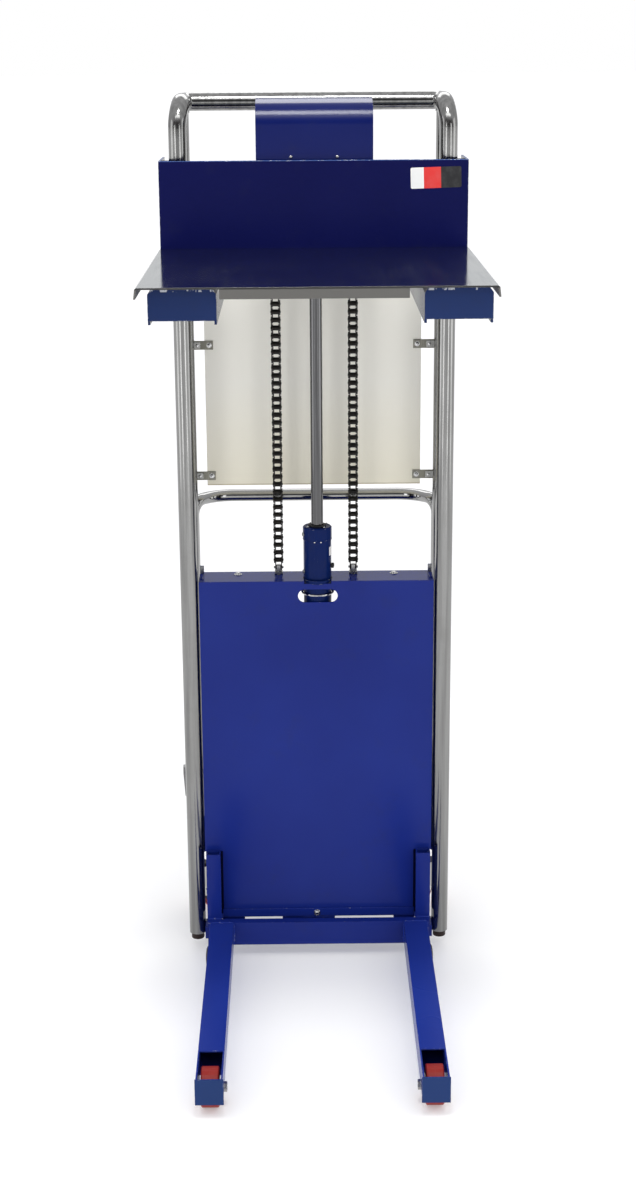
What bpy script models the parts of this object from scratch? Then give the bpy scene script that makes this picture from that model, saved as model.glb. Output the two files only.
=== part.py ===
"""Walkie stacker with a lifting platform, modelled raised.

Metres, +Z up. The load side faces -Y and the operator stands on the +Y side.
The origin is on the floor, in the middle of the overall width and length.
"""

import math

import bmesh
import bpy
from mathutils import Matrix, Vector

# Driving dimensions, in metres. Y values are counted from the mast's front tubes.
MAST_Y = 0.1785
MAST_X = 0.2585
TUBE_R = 0.0175
TUBE_WALL = 0.0025
REAR_TUBE_Y = 0.095
BAR_Z = 1.7535
HOOP_END_Z = 0.0335

LEG_IN = 0.180
LEG_OUT = 0.229
LEG_FRONT = -0.6970
LEG_Z0 = 0.028
LEG_Z1 = 0.078
ROLLER_R = 0.037
ROLLER_Y = -0.648

RAM_X = 0.003
RAM_Y = 0.022
CYL_R = 0.0285
ROD_R = 0.0122
ROD_TOP = 1.6835

SHEAVE_X = 0.0765
SHEAVE_Y = 0.010
SHEAVE_Z = 1.700
PITCH_R = 0.040
CHAIN_PITCH = 0.015875

DECK_TOP = 1.4875
DECK_T = 0.003
FORK_TOP = 1.4842
FORK_W = 0.112
FORK_H = 0.058
FORK_L_X = -0.2195
FORK_R_X = 0.2300

PANEL_Y = -0.010
PANEL_TOP = 0.813
SLOT_Z = 0.782

CASTER_X = 0.205
CASTER_Y = 0.155
CASTER_TRAIL = 0.032
CASTER_TURN = {"left": 40.0, "right": -32.0}
WHEEL_R = 0.050

PEDAL_PIVOT = (RAM_X, 0.068, 0.300)
GAP = 0.0003


def clear_scene():
    for old in list(bpy.data.objects):
        bpy.data.objects.remove(old, do_unlink=True)


clear_scene()
PARTS = bpy.data.collections.new("walkie_stacker")
CUTTERS = bpy.data.collections.new("cutters")
bpy.context.scene.collection.children.link(PARTS)
bpy.context.scene.collection.children.link(CUTTERS)
ROOT = bpy.data.objects.new("walkie_stacker_root", None)
ROOT.location = (0, MAST_Y, 0)
PARTS.objects.link(ROOT)


def material(name, colour, metallic, roughness, alpha=1.0):
    mat = bpy.data.materials.new(name)
    mat.use_nodes = True
    shader = mat.node_tree.nodes["Principled BSDF"]
    shader.inputs["Base Color"].default_value = (*colour, 1.0)
    shader.inputs["Metallic"].default_value = metallic
    shader.inputs["Roughness"].default_value = roughness
    shader.inputs["Alpha"].default_value = alpha
    return mat


BLUE = material("blue_paint", (0.018, 0.032, 0.24), 0.0, 0.22)
NAVY = material("navy_paint", (0.012, 0.014, 0.12), 0.0, 0.22)
CHROME = material("chrome_plate", (0.62, 0.62, 0.60), 1.0, 0.08)
STEEL = material("satin_steel", (0.45, 0.45, 0.44), 1.0, 0.32)
DARK = material("dark_steel", (0.05, 0.05, 0.055), 1.0, 0.45)
RED = material("red_polyurethane", (0.32, 0.022, 0.018), 0.0, 0.38)
BLACK = material("black_plastic", (0.015, 0.015, 0.015), 0.0, 0.5)
GUARD = material("cream_guard", (0.62, 0.60, 0.54), 0.0, 0.35, 0.9)


def finish(obj, mat, helper=False):
    """Links an object to its collection, under the root, with its material."""
    if helper:
        CUTTERS.objects.link(obj)
        obj.hide_render = True
        obj.display_type = "WIRE"
    else:
        PARTS.objects.link(obj)
    obj.parent = ROOT
    if mat is not None:
        obj.data.materials.append(mat)
    return obj


def box(name, low, high, mat=None, bevel=0.0, helper=False):
    """A cube primitive stretched between two corners, with its origin at its middle."""
    size = [b - a for a, b in zip(low, high)]
    mesh = bpy.data.meshes.new(name)
    bm = bmesh.new()
    bmesh.ops.create_cube(bm, size=1.0)
    bmesh.ops.scale(bm, vec=Vector(size), verts=bm.verts)
    bm.to_mesh(mesh)
    bm.free()
    obj = bpy.data.objects.new(name, mesh)
    obj.location = [(a + b) / 2 for a, b in zip(low, high)]
    finish(obj, mat, helper)
    if bevel > 0:
        mod = obj.modifiers.new("edge", "BEVEL")
        mod.width = bevel
        mod.segments = 2
    return obj


TURN = {"X": (0, math.pi / 2, 0), "Y": (-math.pi / 2, 0, 0), "Z": (0, 0, 0)}


def rod(name, radius, start, end, axis, mat=None, sides=24, helper=False):
    """A cylinder primitive along a main axis. start and end share the other two values."""
    middle = [(a + b) / 2 for a, b in zip(start, end)]
    length = (Vector(end) - Vector(start)).length
    mesh = bpy.data.meshes.new(name)
    bm = bmesh.new()
    bmesh.ops.create_cone(
        bm, cap_ends=True, segments=sides, radius1=radius, radius2=radius, depth=length
    )
    bm.to_mesh(mesh)
    bm.free()
    obj = bpy.data.objects.new(name, mesh)
    obj.location = middle
    obj.rotation_euler = TURN[axis]
    finish(obj, mat, helper)
    mesh.shade_smooth()
    mesh.set_sharp_from_angle(angle=math.radians(40))
    return obj


def turned(name, profile, centre, axis, mat=None, steps=28, closed=False, helper=False):
    """A (radius, height) profile spun round the local Z axis with a Screw modifier."""
    mesh = bpy.data.meshes.new(name)
    bm = bmesh.new()
    verts = [bm.verts.new((r, 0.0, h)) for r, h in profile]
    for a, b in zip(verts, verts[1:]):
        bm.edges.new((a, b))
    if closed:
        bm.edges.new((verts[-1], verts[0]))
    bm.to_mesh(mesh)
    bm.free()
    obj = bpy.data.objects.new(name, mesh)
    obj.location = centre
    obj.rotation_euler = TURN[axis]
    finish(obj, mat, helper)
    mod = obj.modifiers.new("turn", "SCREW")
    mod.axis = "Z"
    mod.angle = math.tau
    mod.steps = steps
    mod.render_steps = steps
    mod.use_merge_vertices = True
    mod.merge_threshold = 0.00005
    mod.use_smooth_shade = True
    return obj


def as_mesh(curve_obj, mat, helper=False):
    """Replaces a curve object by the mesh it makes, with its caps welded on."""
    bpy.context.view_layer.update()
    graph = bpy.context.evaluated_depsgraph_get()
    name = curve_obj.name
    mesh = bpy.data.meshes.new_from_object(curve_obj.evaluated_get(graph))
    bm = bmesh.new()
    bm.from_mesh(mesh)
    bmesh.ops.remove_doubles(bm, verts=bm.verts, dist=0.00002)
    bmesh.ops.recalc_face_normals(bm, faces=bm.faces)
    bm.to_mesh(mesh)
    bm.free()
    place = curve_obj.matrix_local.copy()
    bpy.data.objects.remove(curve_obj, do_unlink=True)
    mesh.name = name
    mesh.materials.clear()
    obj = bpy.data.objects.new(name, mesh)
    finish(obj, mat, helper)
    obj.matrix_local = place
    return obj


def outline(name, points, low, high, axis, mat=None, helper=False):
    """A flat closed outline extruded along X, Y or Z between two values.

    Points are (Y, Z) for axis X, (X, Z) for axis Y and (X, Y) for axis Z.
    """
    curve = bpy.data.curves.new(name, "CURVE")
    curve.dimensions = "2D"
    curve.fill_mode = "BOTH"
    curve.extrude = (high - low) / 2
    spline = curve.splines.new("POLY")
    spline.points.add(len(points) - 1)
    for item, (u, v) in zip(spline.points, points):
        item.co = (u, v, 0.0, 1.0)
    spline.use_cyclic_u = True
    obj = bpy.data.objects.new(name, curve)
    PARTS.objects.link(obj)
    obj.parent = ROOT
    middle = (low + high) / 2
    if axis == "X":
        turn = Matrix(((0, 0, 1), (1, 0, 0), (0, 1, 0))).to_4x4()
        obj.matrix_local = Matrix.Translation((middle, 0, 0)) @ turn
    elif axis == "Y":
        turn = Matrix(((1, 0, 0), (0, 0, -1), (0, 1, 0))).to_4x4()
        obj.matrix_local = Matrix.Translation((0, middle, 0)) @ turn
    else:
        obj.matrix_local = Matrix.Translation((0, 0, middle))
    return as_mesh(obj, mat, helper)


def tube(name, points, radius, mat=None, resolution=8, helper=False, keep_curve=False):
    """A bent bar: a curve through the points with a round bevel and filled caps."""
    curve = bpy.data.curves.new(name, "CURVE")
    curve.dimensions = "3D"
    curve.bevel_depth = radius
    curve.bevel_resolution = resolution
    curve.use_fill_caps = True
    spline = curve.splines.new("POLY")
    spline.points.add(len(points) - 1)
    for item, p in zip(spline.points, points):
        item.co = (*p, 1.0)
    obj = bpy.data.objects.new(name, curve)
    PARTS.objects.link(obj)
    obj.parent = ROOT
    if keep_curve:
        curve.materials.append(mat)
        return obj
    made = as_mesh(obj, mat, helper)
    made.data.shade_smooth()
    made.data.set_sharp_from_angle(angle=math.radians(40))
    return made


def boolean(obj, other, operation):
    mod = obj.modifiers.new(operation.lower(), "BOOLEAN")
    mod.operation = operation
    mod.solver = "EXACT"
    mod.object = other
    return obj


def cut(obj, *others):
    for other in others:
        boolean(obj, other, "DIFFERENCE")
    return obj


def join(obj, *others):
    for other in others:
        boolean(obj, other, "UNION")
    return obj


def cutter_box(name, low, high):
    return box(name, low, high, helper=True)


def rounded(corners, radius, steps=6):
    """A path through the corners with each inner corner rounded to the radius."""
    path = [Vector(corners[0])]
    for before, here, after in zip(corners, corners[1:], corners[2:]):
        before = Vector(before)
        here = Vector(here)
        after = Vector(after)
        into = (here - before).normalized()
        out = (after - here).normalized()
        half = into.angle(out) / 2
        reach = radius * math.tan(half)
        start = here - into * reach
        centre = start + (out - into * into.dot(out)).normalized() * radius
        arm = start - centre
        hinge = into.cross(out).normalized()
        for k in range(steps + 1):
            path.append(centre + Matrix.Rotation(2 * half * k / steps, 3, hinge) @ arm)
    path.append(Vector(corners[-1]))
    return [tuple(p) for p in path]


# ---------------------------------------------------------------- base frame


def make_leg(name, side):
    """Box section leg, open at the back, with a roller pocket behind its front plate."""
    x0, x1 = sorted((side * LEG_IN, side * LEG_OUT))
    leg = box(name, (x0, LEG_FRONT + 0.002, LEG_Z0), (x1, -0.0553, LEG_Z1), BLUE)
    hollow = cutter_box(
        name + "_hollow",
        (x0 + 0.003, LEG_FRONT + 0.0045, LEG_Z0 + 0.003),
        (x1 - 0.003, -0.05, LEG_Z1 - 0.003),
    )
    pocket = cutter_box(
        name + "_pocket",
        (x0 + 0.003, LEG_FRONT + 0.0045, LEG_Z0 - 0.01),
        (x1 - 0.003, -0.592, LEG_Z1 + 0.01),
    )
    plate = box(
        name + "_plate",
        (x0 - 0.0015, LEG_FRONT, LEG_Z0),
        (x1 + 0.0015, LEG_FRONT + 0.0035, LEG_Z1 + 0.0004),
        helper=True,
    )
    bore = rod(
        name + "_bore",
        0.0063,
        (x0 - 0.02, ROLLER_Y, ROLLER_R),
        (x1 + 0.02, ROLLER_Y, ROLLER_R),
        "X",
        sides=16,
        helper=True,
    )
    return cut(join(cut(leg, hollow, pocket), plate), bore)


def make_front_wheel(side, word):
    """Polyurethane roller on its through bolt."""
    x = side * (LEG_IN + LEG_OUT) / 2
    half = 0.0165
    turned(
        "front_roller_" + word,
        [
            (0.0065, half),
            (ROLLER_R - 0.002, half),
            (ROLLER_R, half - 0.002),
            (ROLLER_R, 0.002 - half),
            (ROLLER_R - 0.002, -half),
            (0.0065, -half),
        ],
        (x, ROLLER_Y, ROLLER_R),
        "X",
        RED,
        closed=True,
    )
    inner = side * (LEG_IN - 0.0065)
    outer = side * (LEG_OUT + 0.0045)
    bolt = rod(
        "front_axle_" + word,
        0.006,
        (min(inner, outer), ROLLER_Y, ROLLER_R),
        (max(inner, outer), ROLLER_Y, ROLLER_R),
        "X",
        STEEL,
        sides=16,
    )
    for tag, face, reach in (("nut", LEG_IN - GAP, LEG_IN - 0.0062), ("head", LEG_OUT + GAP, LEG_OUT + 0.0042)):
        ends = sorted((side * face, side * reach))
        cap = rod(
            f"front_axle_{word}_{tag}",
            0.0095,
            (ends[0], ROLLER_Y, ROLLER_R),
            (ends[1], ROLLER_Y, ROLLER_R),
            "X",
            sides=6,
            helper=True,
        )
        join(bolt, cap)


for SIDE, WORD in ((-1, "left"), (1, "right")):
    make_leg("leg_" + WORD, SIDE)
    make_front_wheel(SIDE, WORD)
    BUMP_X = SIDE * (LEG_OUT + GAP)
    turned(
        "side_bumper_" + WORD,
        [(0.0, 0.0045), (0.010, 0.0042), (0.019, 0.0030), (0.0235, 0.0008), (0.0235, 0.0), (0.0, 0.0)],
        (BUMP_X, -0.165, (LEG_Z0 + LEG_Z1) / 2),
        "X",
        BLACK,
        steps=20,
    ).rotation_euler = (0, SIDE * math.pi / 2, 0)

crossbar = box("base_crossbar", (-0.2345, -0.0550, 0.0270), (0.2345, -0.0360, 0.0780), BLUE)
cut(
    crossbar,
    cutter_box("crossbar_channel", (-0.2315, -0.0515, 0.0305), (0.2315, -0.0300, 0.0745)),
)
for SIDE, WORD in ((-1, "left"), (1, "right")):
    PX0, PX1 = sorted((SIDE * 0.2055, SIDE * 0.2355))
    post = box("post_" + WORD, (PX0, -0.0365, 0.0300), (PX1, -0.0110, 0.2250), helper=True)
    post_hole = cutter_box(
        "post_hole_" + WORD, (PX0 + 0.003, -0.0335, 0.0330), (PX1 - 0.003, -0.0140, 0.2600)
    )
    GX0, GX1 = sorted((SIDE * 0.2335, SIDE * 0.2406))
    gusset = box("gusset_" + WORD, (GX0, -0.0380, 0.0340), (GX1, 0.0050, 0.0600), helper=True)
    cut(join(crossbar, post, gusset), post_hole)

rear_base = outline(
    "rear_base",
    [(-0.0065, 0.1220), (0.2000, 0.1220), (0.2000, 0.1650), (0.1960, 0.1650), (0.1960, 0.1280), (-0.0065, 0.1280)],
    -0.2380,
    0.2380,
    "X",
    BLUE,
)
for SIDE, WORD in ((-1, "left"), (1, "right")):
    RX0, RX1 = sorted((SIDE * 0.2080, SIDE * 0.2330))
    rail = box("rail_" + WORD, (RX0, -0.0107, 0.0785), (RX1, 0.0300, 0.1225), helper=True)
    rail_hole = cutter_box("rail_hole_" + WORD, (RX0 + 0.003, -0.02, 0.0815), (RX1 - 0.003, 0.04, 0.1190))
    CX0, CX1 = sorted((SIDE * 0.2362, SIDE * 0.2406))
    cheek = outline(
        "base_cheek_" + WORD,
        [(0.0600, 0.1215), (0.1700, 0.1215), (0.1700, 0.1450), (0.1250, 0.2600), (0.0700, 0.2600), (0.0600, 0.2400)],
        CX0,
        CX1,
        "X",
        helper=True,
    )
    seat = rod(
        "caster_seat_" + WORD,
        0.0300,
        (SIDE * CASTER_X, CASTER_Y, 0.1120),
        (SIDE * CASTER_X, CASTER_Y, 0.1225),
        "Z",
        helper=True,
    )
    cut(join(rear_base, rail, cheek, seat), rail_hole)

# ---------------------------------------------------------------------- mast


def hoop_path(extra):
    """Front tube, swept back over the top into the cross bar behind, and down again."""
    half = []
    drift = 0.006
    bend = 0.0475
    turn = 0.020
    half.append((MAST_X, 0.0, HOOP_END_Z - extra))
    half.append((MAST_X, 0.0, 1.20))
    for k in range(9):
        t = k / 8
        a = t * math.pi / 2
        ease = t * t * (3 - 2 * t)
        half.append((MAST_X - drift * ease, bend * (1 - math.cos(a)), BAR_Z - bend + bend * math.sin(a)))
    corner_x = MAST_X - drift - turn
    corner_y = REAR_TUBE_Y - turn
    for k in range(7):
        a = k / 6 * math.pi / 2
        half.append((corner_x + turn * math.cos(a), corner_y + turn * math.sin(a), BAR_Z))
    mirrored = [(-x, y, z) for x, y, z in half]
    return half + list(reversed(mirrored))


hoop = tube("mast_hoop", hoop_path(0.0), TUBE_R, CHROME)
cut(hoop, tube("mast_hoop_bore", hoop_path(0.01), TUBE_R - TUBE_WALL, helper=True))

for SIDE, WORD in ((-1, "left"), (1, "right")):
    X = SIDE * MAST_X
    turned(
        "mast_rear_tube_" + WORD,
        [
            (TUBE_R, 1.7350 - 0.9),
            (TUBE_R, 0.1800 - 0.9),
            (TUBE_R - TUBE_WALL, 0.1800 - 0.9),
            (TUBE_R - TUBE_WALL, 1.7350 - 0.9),
        ],
        (X, REAR_TUBE_Y, 0.9),
        "Z",
        CHROME,
        steps=20,
        closed=True,
    )
    turned(
        "foot_plug_" + WORD,
        [
            (0.0, 0.0500),
            (0.0143, 0.0500),
            (0.0146, 0.0345),
            (0.0135, 0.0332),
            (0.0135, 0.0208),
            (0.0127, 0.0200),
            (0.0, 0.0200),
        ],
        (X, 0.0, 0.0),
        "Z",
        BLACK,
        steps=20,
    )

# ------------------------------------------------------- panel, beam, handle

panel = box("front_panel", (-0.2385, PANEL_Y, 0.0550), (0.2385, PANEL_Y + 0.002, PANEL_TOP), BLUE)
for SIDE, WORD in ((-1, "left"), (1, "right")):
    FX0, FX1 = sorted((SIDE * 0.2365, SIDE * 0.2385))
    join(
        panel,
        box("panel_side_" + WORD, (FX0, PANEL_Y + 0.001, 0.2220), (FX1, 0.0520, PANEL_TOP), helper=True),
    )
    CX0, CX1 = sorted((SIDE * 0.2045, SIDE * 0.2600))
    cut(panel, cutter_box("panel_corner_" + WORD, (CX0, -0.05, 0.02), (CX1, 0.08, 0.2222)))
join(
    panel,
    box("panel_top", (-0.2385, PANEL_Y + 0.001, PANEL_TOP - 0.002), (0.2385, 0.0550, PANEL_TOP), helper=True),
)
for SIDE, WORD in ((-1, "left"), (1, "right")):
    TX0, TX1 = sorted((SIDE * 0.2300, SIDE * 0.2384))
    join(
        panel,
        box("panel_tab_" + WORD, (TX0, 0.0495, PANEL_TOP - 0.001), (TX1, 0.0520, 0.8310), helper=True),
        box("panel_tab_foot_" + WORD, (TX0 + 0.001, 0.0100, PANEL_TOP - 0.001), (TX1 - 0.001, 0.0500, PANEL_TOP + 0.002), helper=True),
    )
slot_w = 0.0270
cut(
    panel,
    cutter_box("panel_gap_left", (-0.1570, -0.05, 0.04), (-0.0770, 0.05, 0.0705)),
    cutter_box("panel_gap_right", (0.0350, -0.05, 0.04), (0.1600, 0.05, 0.0705)),
    rod(
        "panel_ram_hole",
        CYL_R + 0.0010,
        (RAM_X, RAM_Y, PANEL_TOP - 0.03),
        (RAM_X, RAM_Y, PANEL_TOP + 0.03),
        "Z",
        helper=True,
    ),
    cutter_box(
        "panel_ram_notch",
        (RAM_X - 0.0275, -0.05, PANEL_TOP - 0.0055),
        (RAM_X + 0.0275, 0.010, PANEL_TOP + 0.02),
    ),
    cutter_box(
        "panel_slot",
        (RAM_X - 0.0270, -0.05, SLOT_Z - slot_w / 2),
        (RAM_X + 0.0270, 0.004, SLOT_Z + slot_w / 2),
    ),
)
for SIDE, WORD in ((-1, "left"), (1, "right")):
    cut(
        panel,
        rod(
            "panel_slot_end_" + WORD,
            slot_w / 2 - 0.00005,
            (RAM_X + SIDE * 0.0269, -0.05, SLOT_Z),
            (RAM_X + SIDE * 0.0269, 0.004, SLOT_Z),
            "Y",
            helper=True,
        ),
        rod(
            "panel_anchor_hole_" + WORD,
            0.0056,
            (SIDE * SHEAVE_X, 0.047, PANEL_TOP - 0.03),
            (SIDE * SHEAVE_X, 0.047, PANEL_TOP + 0.03),
            "Z",
            sides=16,
            helper=True,
        ),
    )

beam = box("mid_beam", (-0.2395, 0.0560, 0.7740), (0.2395, 0.0760, PANEL_TOP - 0.0023), BLUE)
cut(beam, cutter_box("mid_beam_bore", (-0.26, 0.0585, 0.7765), (0.26, 0.0735, PANEL_TOP - 0.0048)))

HANDLE_X = 0.2535
HANDLE_Y = 0.1253
handle = tube(
    "push_handle",
    rounded(
        [
            (-HANDLE_X, HANDLE_Y, 0.8000),
            (-HANDLE_X, HANDLE_Y, 0.9490),
            (-0.2080, 0.1800, 0.9490),
            (0.2080, 0.1800, 0.9490),
            (HANDLE_X, HANDLE_Y, 0.9490),
            (HANDLE_X, HANDLE_Y, 0.8000),
        ],
        0.030,
    ),
    0.0125,
    CHROME,
    resolution=6,
)

box("guard_sheet", (-0.2216, 0.1131, 0.9860), (0.2164, 0.1161, 1.5600), GUARD)
for WORD, LX0, LX1 in (("left", -0.2460, -0.2042), ("right", 0.2003, 0.2430)):
    for PLACE, LZ in (("upper", 1.2760), ("lower", 1.0065)):
        box(
            f"guard_clip_{PLACE}_{WORD}",
            (LX0, 0.1106, LZ - 0.009),
            (LX1, 0.1128, LZ + 0.009),
            STEEL,
            bevel=0.0006,
        )

# ---------------------------------------------------------------- ram, pump

turned(
    "ram_cylinder",
    [
        (0.0, 0.1500),
        (0.0130, 0.1500),
        (0.0130, 0.9210),
        (0.0275, 0.9210),
        (0.0295, 0.9190),
        (0.0295, 0.8960),
        (CYL_R, 0.8940),
        (CYL_R, 0.1284),
        (0.0, 0.1284),
    ],
    (RAM_X, RAM_Y, 0.0),
    "Z",
    BLUE,
)
tube(
    "cylinder_clamp",
    [(RAM_X - 0.0312, 0.0555, SLOT_Z)]
    + [
        (
            RAM_X - 0.0312 * math.cos(math.pi * k / 12),
            RAM_Y - 0.0312 * math.sin(math.pi * k / 12),
            SLOT_Z,
        )
        for k in range(13)
    ]
    + [(RAM_X + 0.0312, 0.0555, SLOT_Z)],
    0.0022,
    STEEL,
    resolution=2,
    keep_curve=True,
)

pump = box("pump_body", (-0.0450, 0.0520, 0.1284), (0.0500, 0.1240, 0.2350), BLUE, bevel=0.003)
join(
    pump,
    rod("pump_boss", 0.018, (RAM_X, 0.100, 0.2300), (RAM_X, 0.100, 0.2500), "Z", helper=True),
    box("pump_ear_left", (RAM_X - 0.0190, 0.0560, 0.2300), (RAM_X - 0.0130, 0.0800, 0.3120), helper=True),
    box("pump_ear_right", (RAM_X + 0.0130, 0.0560, 0.2300), (RAM_X + 0.0190, 0.0800, 0.3120), helper=True),
    rod(
        "pump_pin",
        0.0050,
        (RAM_X - 0.0160, PEDAL_PIVOT[1], PEDAL_PIVOT[2]),
        (RAM_X + 0.0160, PEDAL_PIVOT[1], PEDAL_PIVOT[2]),
        "X",
        sides=16,
        helper=True,
    ),
    rod("release_pin", 0.0050, (0.0450, 0.0900, 0.2000), (0.0640, 0.0900, 0.2000), "X", sides=16, helper=True),
)
cut(pump, rod("pump_bore", 0.0106, (RAM_X, 0.100, 0.1750), (RAM_X, 0.100, 0.2700), "Z", helper=True))
turned(
    "pump_plunger",
    [(0.0, 0.0455), (0.0080, 0.0450), (0.0100, 0.0420), (0.0100, -0.0400), (0.0, -0.0400)],
    (RAM_X, 0.100, 0.2420),
    "Z",
    CHROME,
    steps=20,
)

PX, PY, PZ = PEDAL_PIVOT
pedal = tube(
    "foot_pedal",
    rounded(
        [
            (PX, PY, PZ),
            (PX, 0.1500, 0.2960),
            (-0.1400, 0.2350, 0.2760),
            (-0.2350, 0.2800, 0.2660),
        ],
        0.03,
        steps=4,
    ),
    0.0075,
    DARK,
    resolution=4,
)
join(
    pedal,
    rod("pedal_boss", 0.0115, (PX - 0.0125, PY, PZ), (PX + 0.0125, PY, PZ), "X", sides=20, helper=True),
    outline(
        "pedal_pad",
        [
            (0.2480, 0.2980),
            (0.3000, 0.2230),
            (0.3140, 0.2220),
            (0.3380, 0.2560),
            (0.3400, 0.2700),
            (0.3300, 0.2790),
            (0.2560, 0.3160),
            (0.2480, 0.3130),
        ],
        -0.2970,
        -0.2050,
        "X",
        helper=True,
    ),
)
cut(
    pedal,
    rod("pedal_bore", 0.0054, (PX - 0.03, PY, PZ), (PX + 0.03, PY, PZ), "X", sides=16, helper=True),
)

release = outline(
    "release_lever",
    [(0.0780, 0.1920), (0.1020, 0.1900), (0.2350, 0.2180), (0.2550, 0.2120), (0.2550, 0.2180),
     (0.2340, 0.2260), (0.1000, 0.2110), (0.0780, 0.2080)],
    0.0506,
    0.0566,
    "X",
    DARK,
)
cut(
    release,
    rod("release_bore", 0.0054, (0.03, 0.0900, 0.2000), (0.08, 0.0900, 0.2000), "X", sides=16, helper=True),
)
join(release, box("release_tread", (0.0510, 0.2330, 0.2140), (0.0850, 0.2550, 0.2180), helper=True))

# ------------------------------------------------------- crosshead and chain

crosshead = box(
    "crosshead", (RAM_X - 0.030, -0.0120, 1.6640), (RAM_X + 0.030, 0.0520, 1.7240), BLUE, bevel=0.003
)
join(
    crosshead,
    box("crosshead_plate", (-0.0560, -0.0118, 1.6450), (0.0600, -0.0040, 1.7000), helper=True),
    rod("cover_boss_left", 0.006, (-0.0425, -0.0430, 1.6560), (-0.0425, -0.0080, 1.6560), "Y", sides=16, helper=True),
    rod("cover_boss_right", 0.006, (0.0450, -0.0430, 1.6560), (0.0450, -0.0080, 1.6560), "Y", sides=16, helper=True),
)
cut(
    crosshead,
    rod("crosshead_bore", 0.0104, (-0.08, SHEAVE_Y, SHEAVE_Z), (0.08, SHEAVE_Y, SHEAVE_Z), "X", helper=True),
    rod("crosshead_socket", ROD_R + 0.0004, (RAM_X, RAM_Y, 1.60), (RAM_X, RAM_Y, ROD_TOP + GAP), "Z", helper=True),
)
rod("ram_rod", ROD_R, (RAM_X, RAM_Y, 0.8620), (RAM_X, RAM_Y, ROD_TOP), "Z", CHROME)
axle = rod("sheave_axle", 0.0100, (-0.0930, SHEAVE_Y, SHEAVE_Z), (0.0930, SHEAVE_Y, SHEAVE_Z), "X", STEEL)
COVER = [
    (-0.0462, 1.6280),
    (-0.0462, 1.7255),
    (-0.0310, 1.7515),
    (0.0100, 1.7608),
    (0.0620, 1.7620),
    (0.0620, 1.7595),
    (0.0106, 1.7583),
    (-0.0295, 1.7492),
    (-0.0437, 1.7249),
    (-0.0437, 1.6280),
]
outline("sheave_cover", COVER, -0.1090, 0.1130, "X", NAVY)

LINK_W = (0.0098, 0.0080)


def strand(name, x, y, low, high, mat):
    """A roller chain strand: its outline steps in and out at every link."""
    count = max(2, round((high - low) / CHAIN_PITCH))
    step = (high - low) / count
    right = []
    for k in range(count):
        w = LINK_W[k % 2]
        right.append((x + w, low + k * step))
        right.append((x + w, low + (k + 1) * step))
    left = [(2 * x - u, v) for u, v in reversed(right)]
    return outline(name, right + left, y - 0.0060, y + 0.0060, "Y", mat)


for SIDE, WORD in ((-1, "left"), (1, "right")):
    X = SIDE * SHEAVE_X
    turned(
        "chain_sheave_" + WORD,
        [
            (0.0104, 0.0125),
            (0.0465, 0.0125),
            (0.0465, 0.0106),
            (0.0325, 0.0106),
            (0.0325, -0.0106),
            (0.0465, -0.0106),
            (0.0465, -0.0125),
            (0.0104, -0.0125),
        ],
        (X, SHEAVE_Y, SHEAVE_Z),
        "X",
        STEEL,
        closed=True,
    )
    join(
        axle,
        rod(
            "axle_end_" + WORD,
            0.0135,
            (min(SIDE * 0.0893, SIDE * 0.0920), SHEAVE_Y, SHEAVE_Z),
            (max(SIDE * 0.0893, SIDE * 0.0920), SHEAVE_Y, SHEAVE_Z),
            "X",
            helper=True,
        ),
    )
    arc = [math.pi * k / 16 for k in range(17)]
    ring = [(SHEAVE_Y + 0.0460 * math.cos(a), SHEAVE_Z + 0.0460 * math.sin(a)) for a in arc]
    ring += [(SHEAVE_Y + 0.0340 * math.cos(a), SHEAVE_Z + 0.0340 * math.sin(a)) for a in reversed(arc)]
    outline("chain_over_sheave_" + WORD, ring, X - 0.0098, X + 0.0098, "X", DARK)
    strand("chain_to_frame_" + WORD, X, SHEAVE_Y + PITCH_R, 0.8355, SHEAVE_Z - GAP, DARK)
    strand("chain_to_carriage_" + WORD, X, SHEAVE_Y - PITCH_R, 1.5745, SHEAVE_Z - GAP, DARK)
    anchor = box(
        "chain_anchor_" + WORD,
        (X - 0.0085, 0.0425, PANEL_TOP + GAP),
        (X + 0.0085, 0.0555, 0.8352),
        STEEL,
        bevel=0.001,
    )
    join(
        anchor,
        rod("anchor_stem_" + WORD, 0.0050, (X, 0.047, 0.7800), (X, 0.047, 0.8200), "Z", sides=16, helper=True),
    )

# ------------------------------------------------------------------ carriage

backrest = box("backrest", (-0.2925, -0.0615, 1.4780), (0.2925, -0.0575, 1.6505), NAVY)
for SIDE, WORD in ((-1, "left"), (1, "right")):
    FX0, FX1 = sorted((SIDE * 0.2885, SIDE * 0.2925))
    wing = box("wing_" + WORD, (FX0, -0.0600, 1.5000), (FX1, 0.0720, 1.6505), helper=True)
    join(backrest, wing)
    for LEVEL, WZ in (("upper", 1.6330), ("lower", 1.5600)):
        stub = sorted((SIDE * 0.2440, SIDE * 0.2890))
        boss = sorted((SIDE * 0.2714, SIDE * 0.2890))
        join(
            backrest,
            rod(f"stub_{LEVEL}_{WORD}", 0.0080, (stub[0], 0.0475, WZ), (stub[1], 0.0475, WZ), "X", sides=16, helper=True),
            rod(f"boss_{LEVEL}_{WORD}", 0.0125, (boss[0], 0.0475, WZ), (boss[1], 0.0475, WZ), "X", sides=16, helper=True),
        )
        groove = []
        for k in range(9):
            u = 0.0125 - 0.025 * k / 8
            groove.append((REAR_TUBE_Y / 2 - math.sqrt(TUBE_R**2 - u * u) - 0.0004, u))
        turned(
            f"guide_roller_{LEVEL}_{WORD}",
            [(0.0083, 0.0125)] + groove + [(0.0083, -0.0125)],
            (SIDE * MAST_X, 0.0475, WZ),
            "X",
            BLACK,
            steps=24,
            closed=True,
        )

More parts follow.
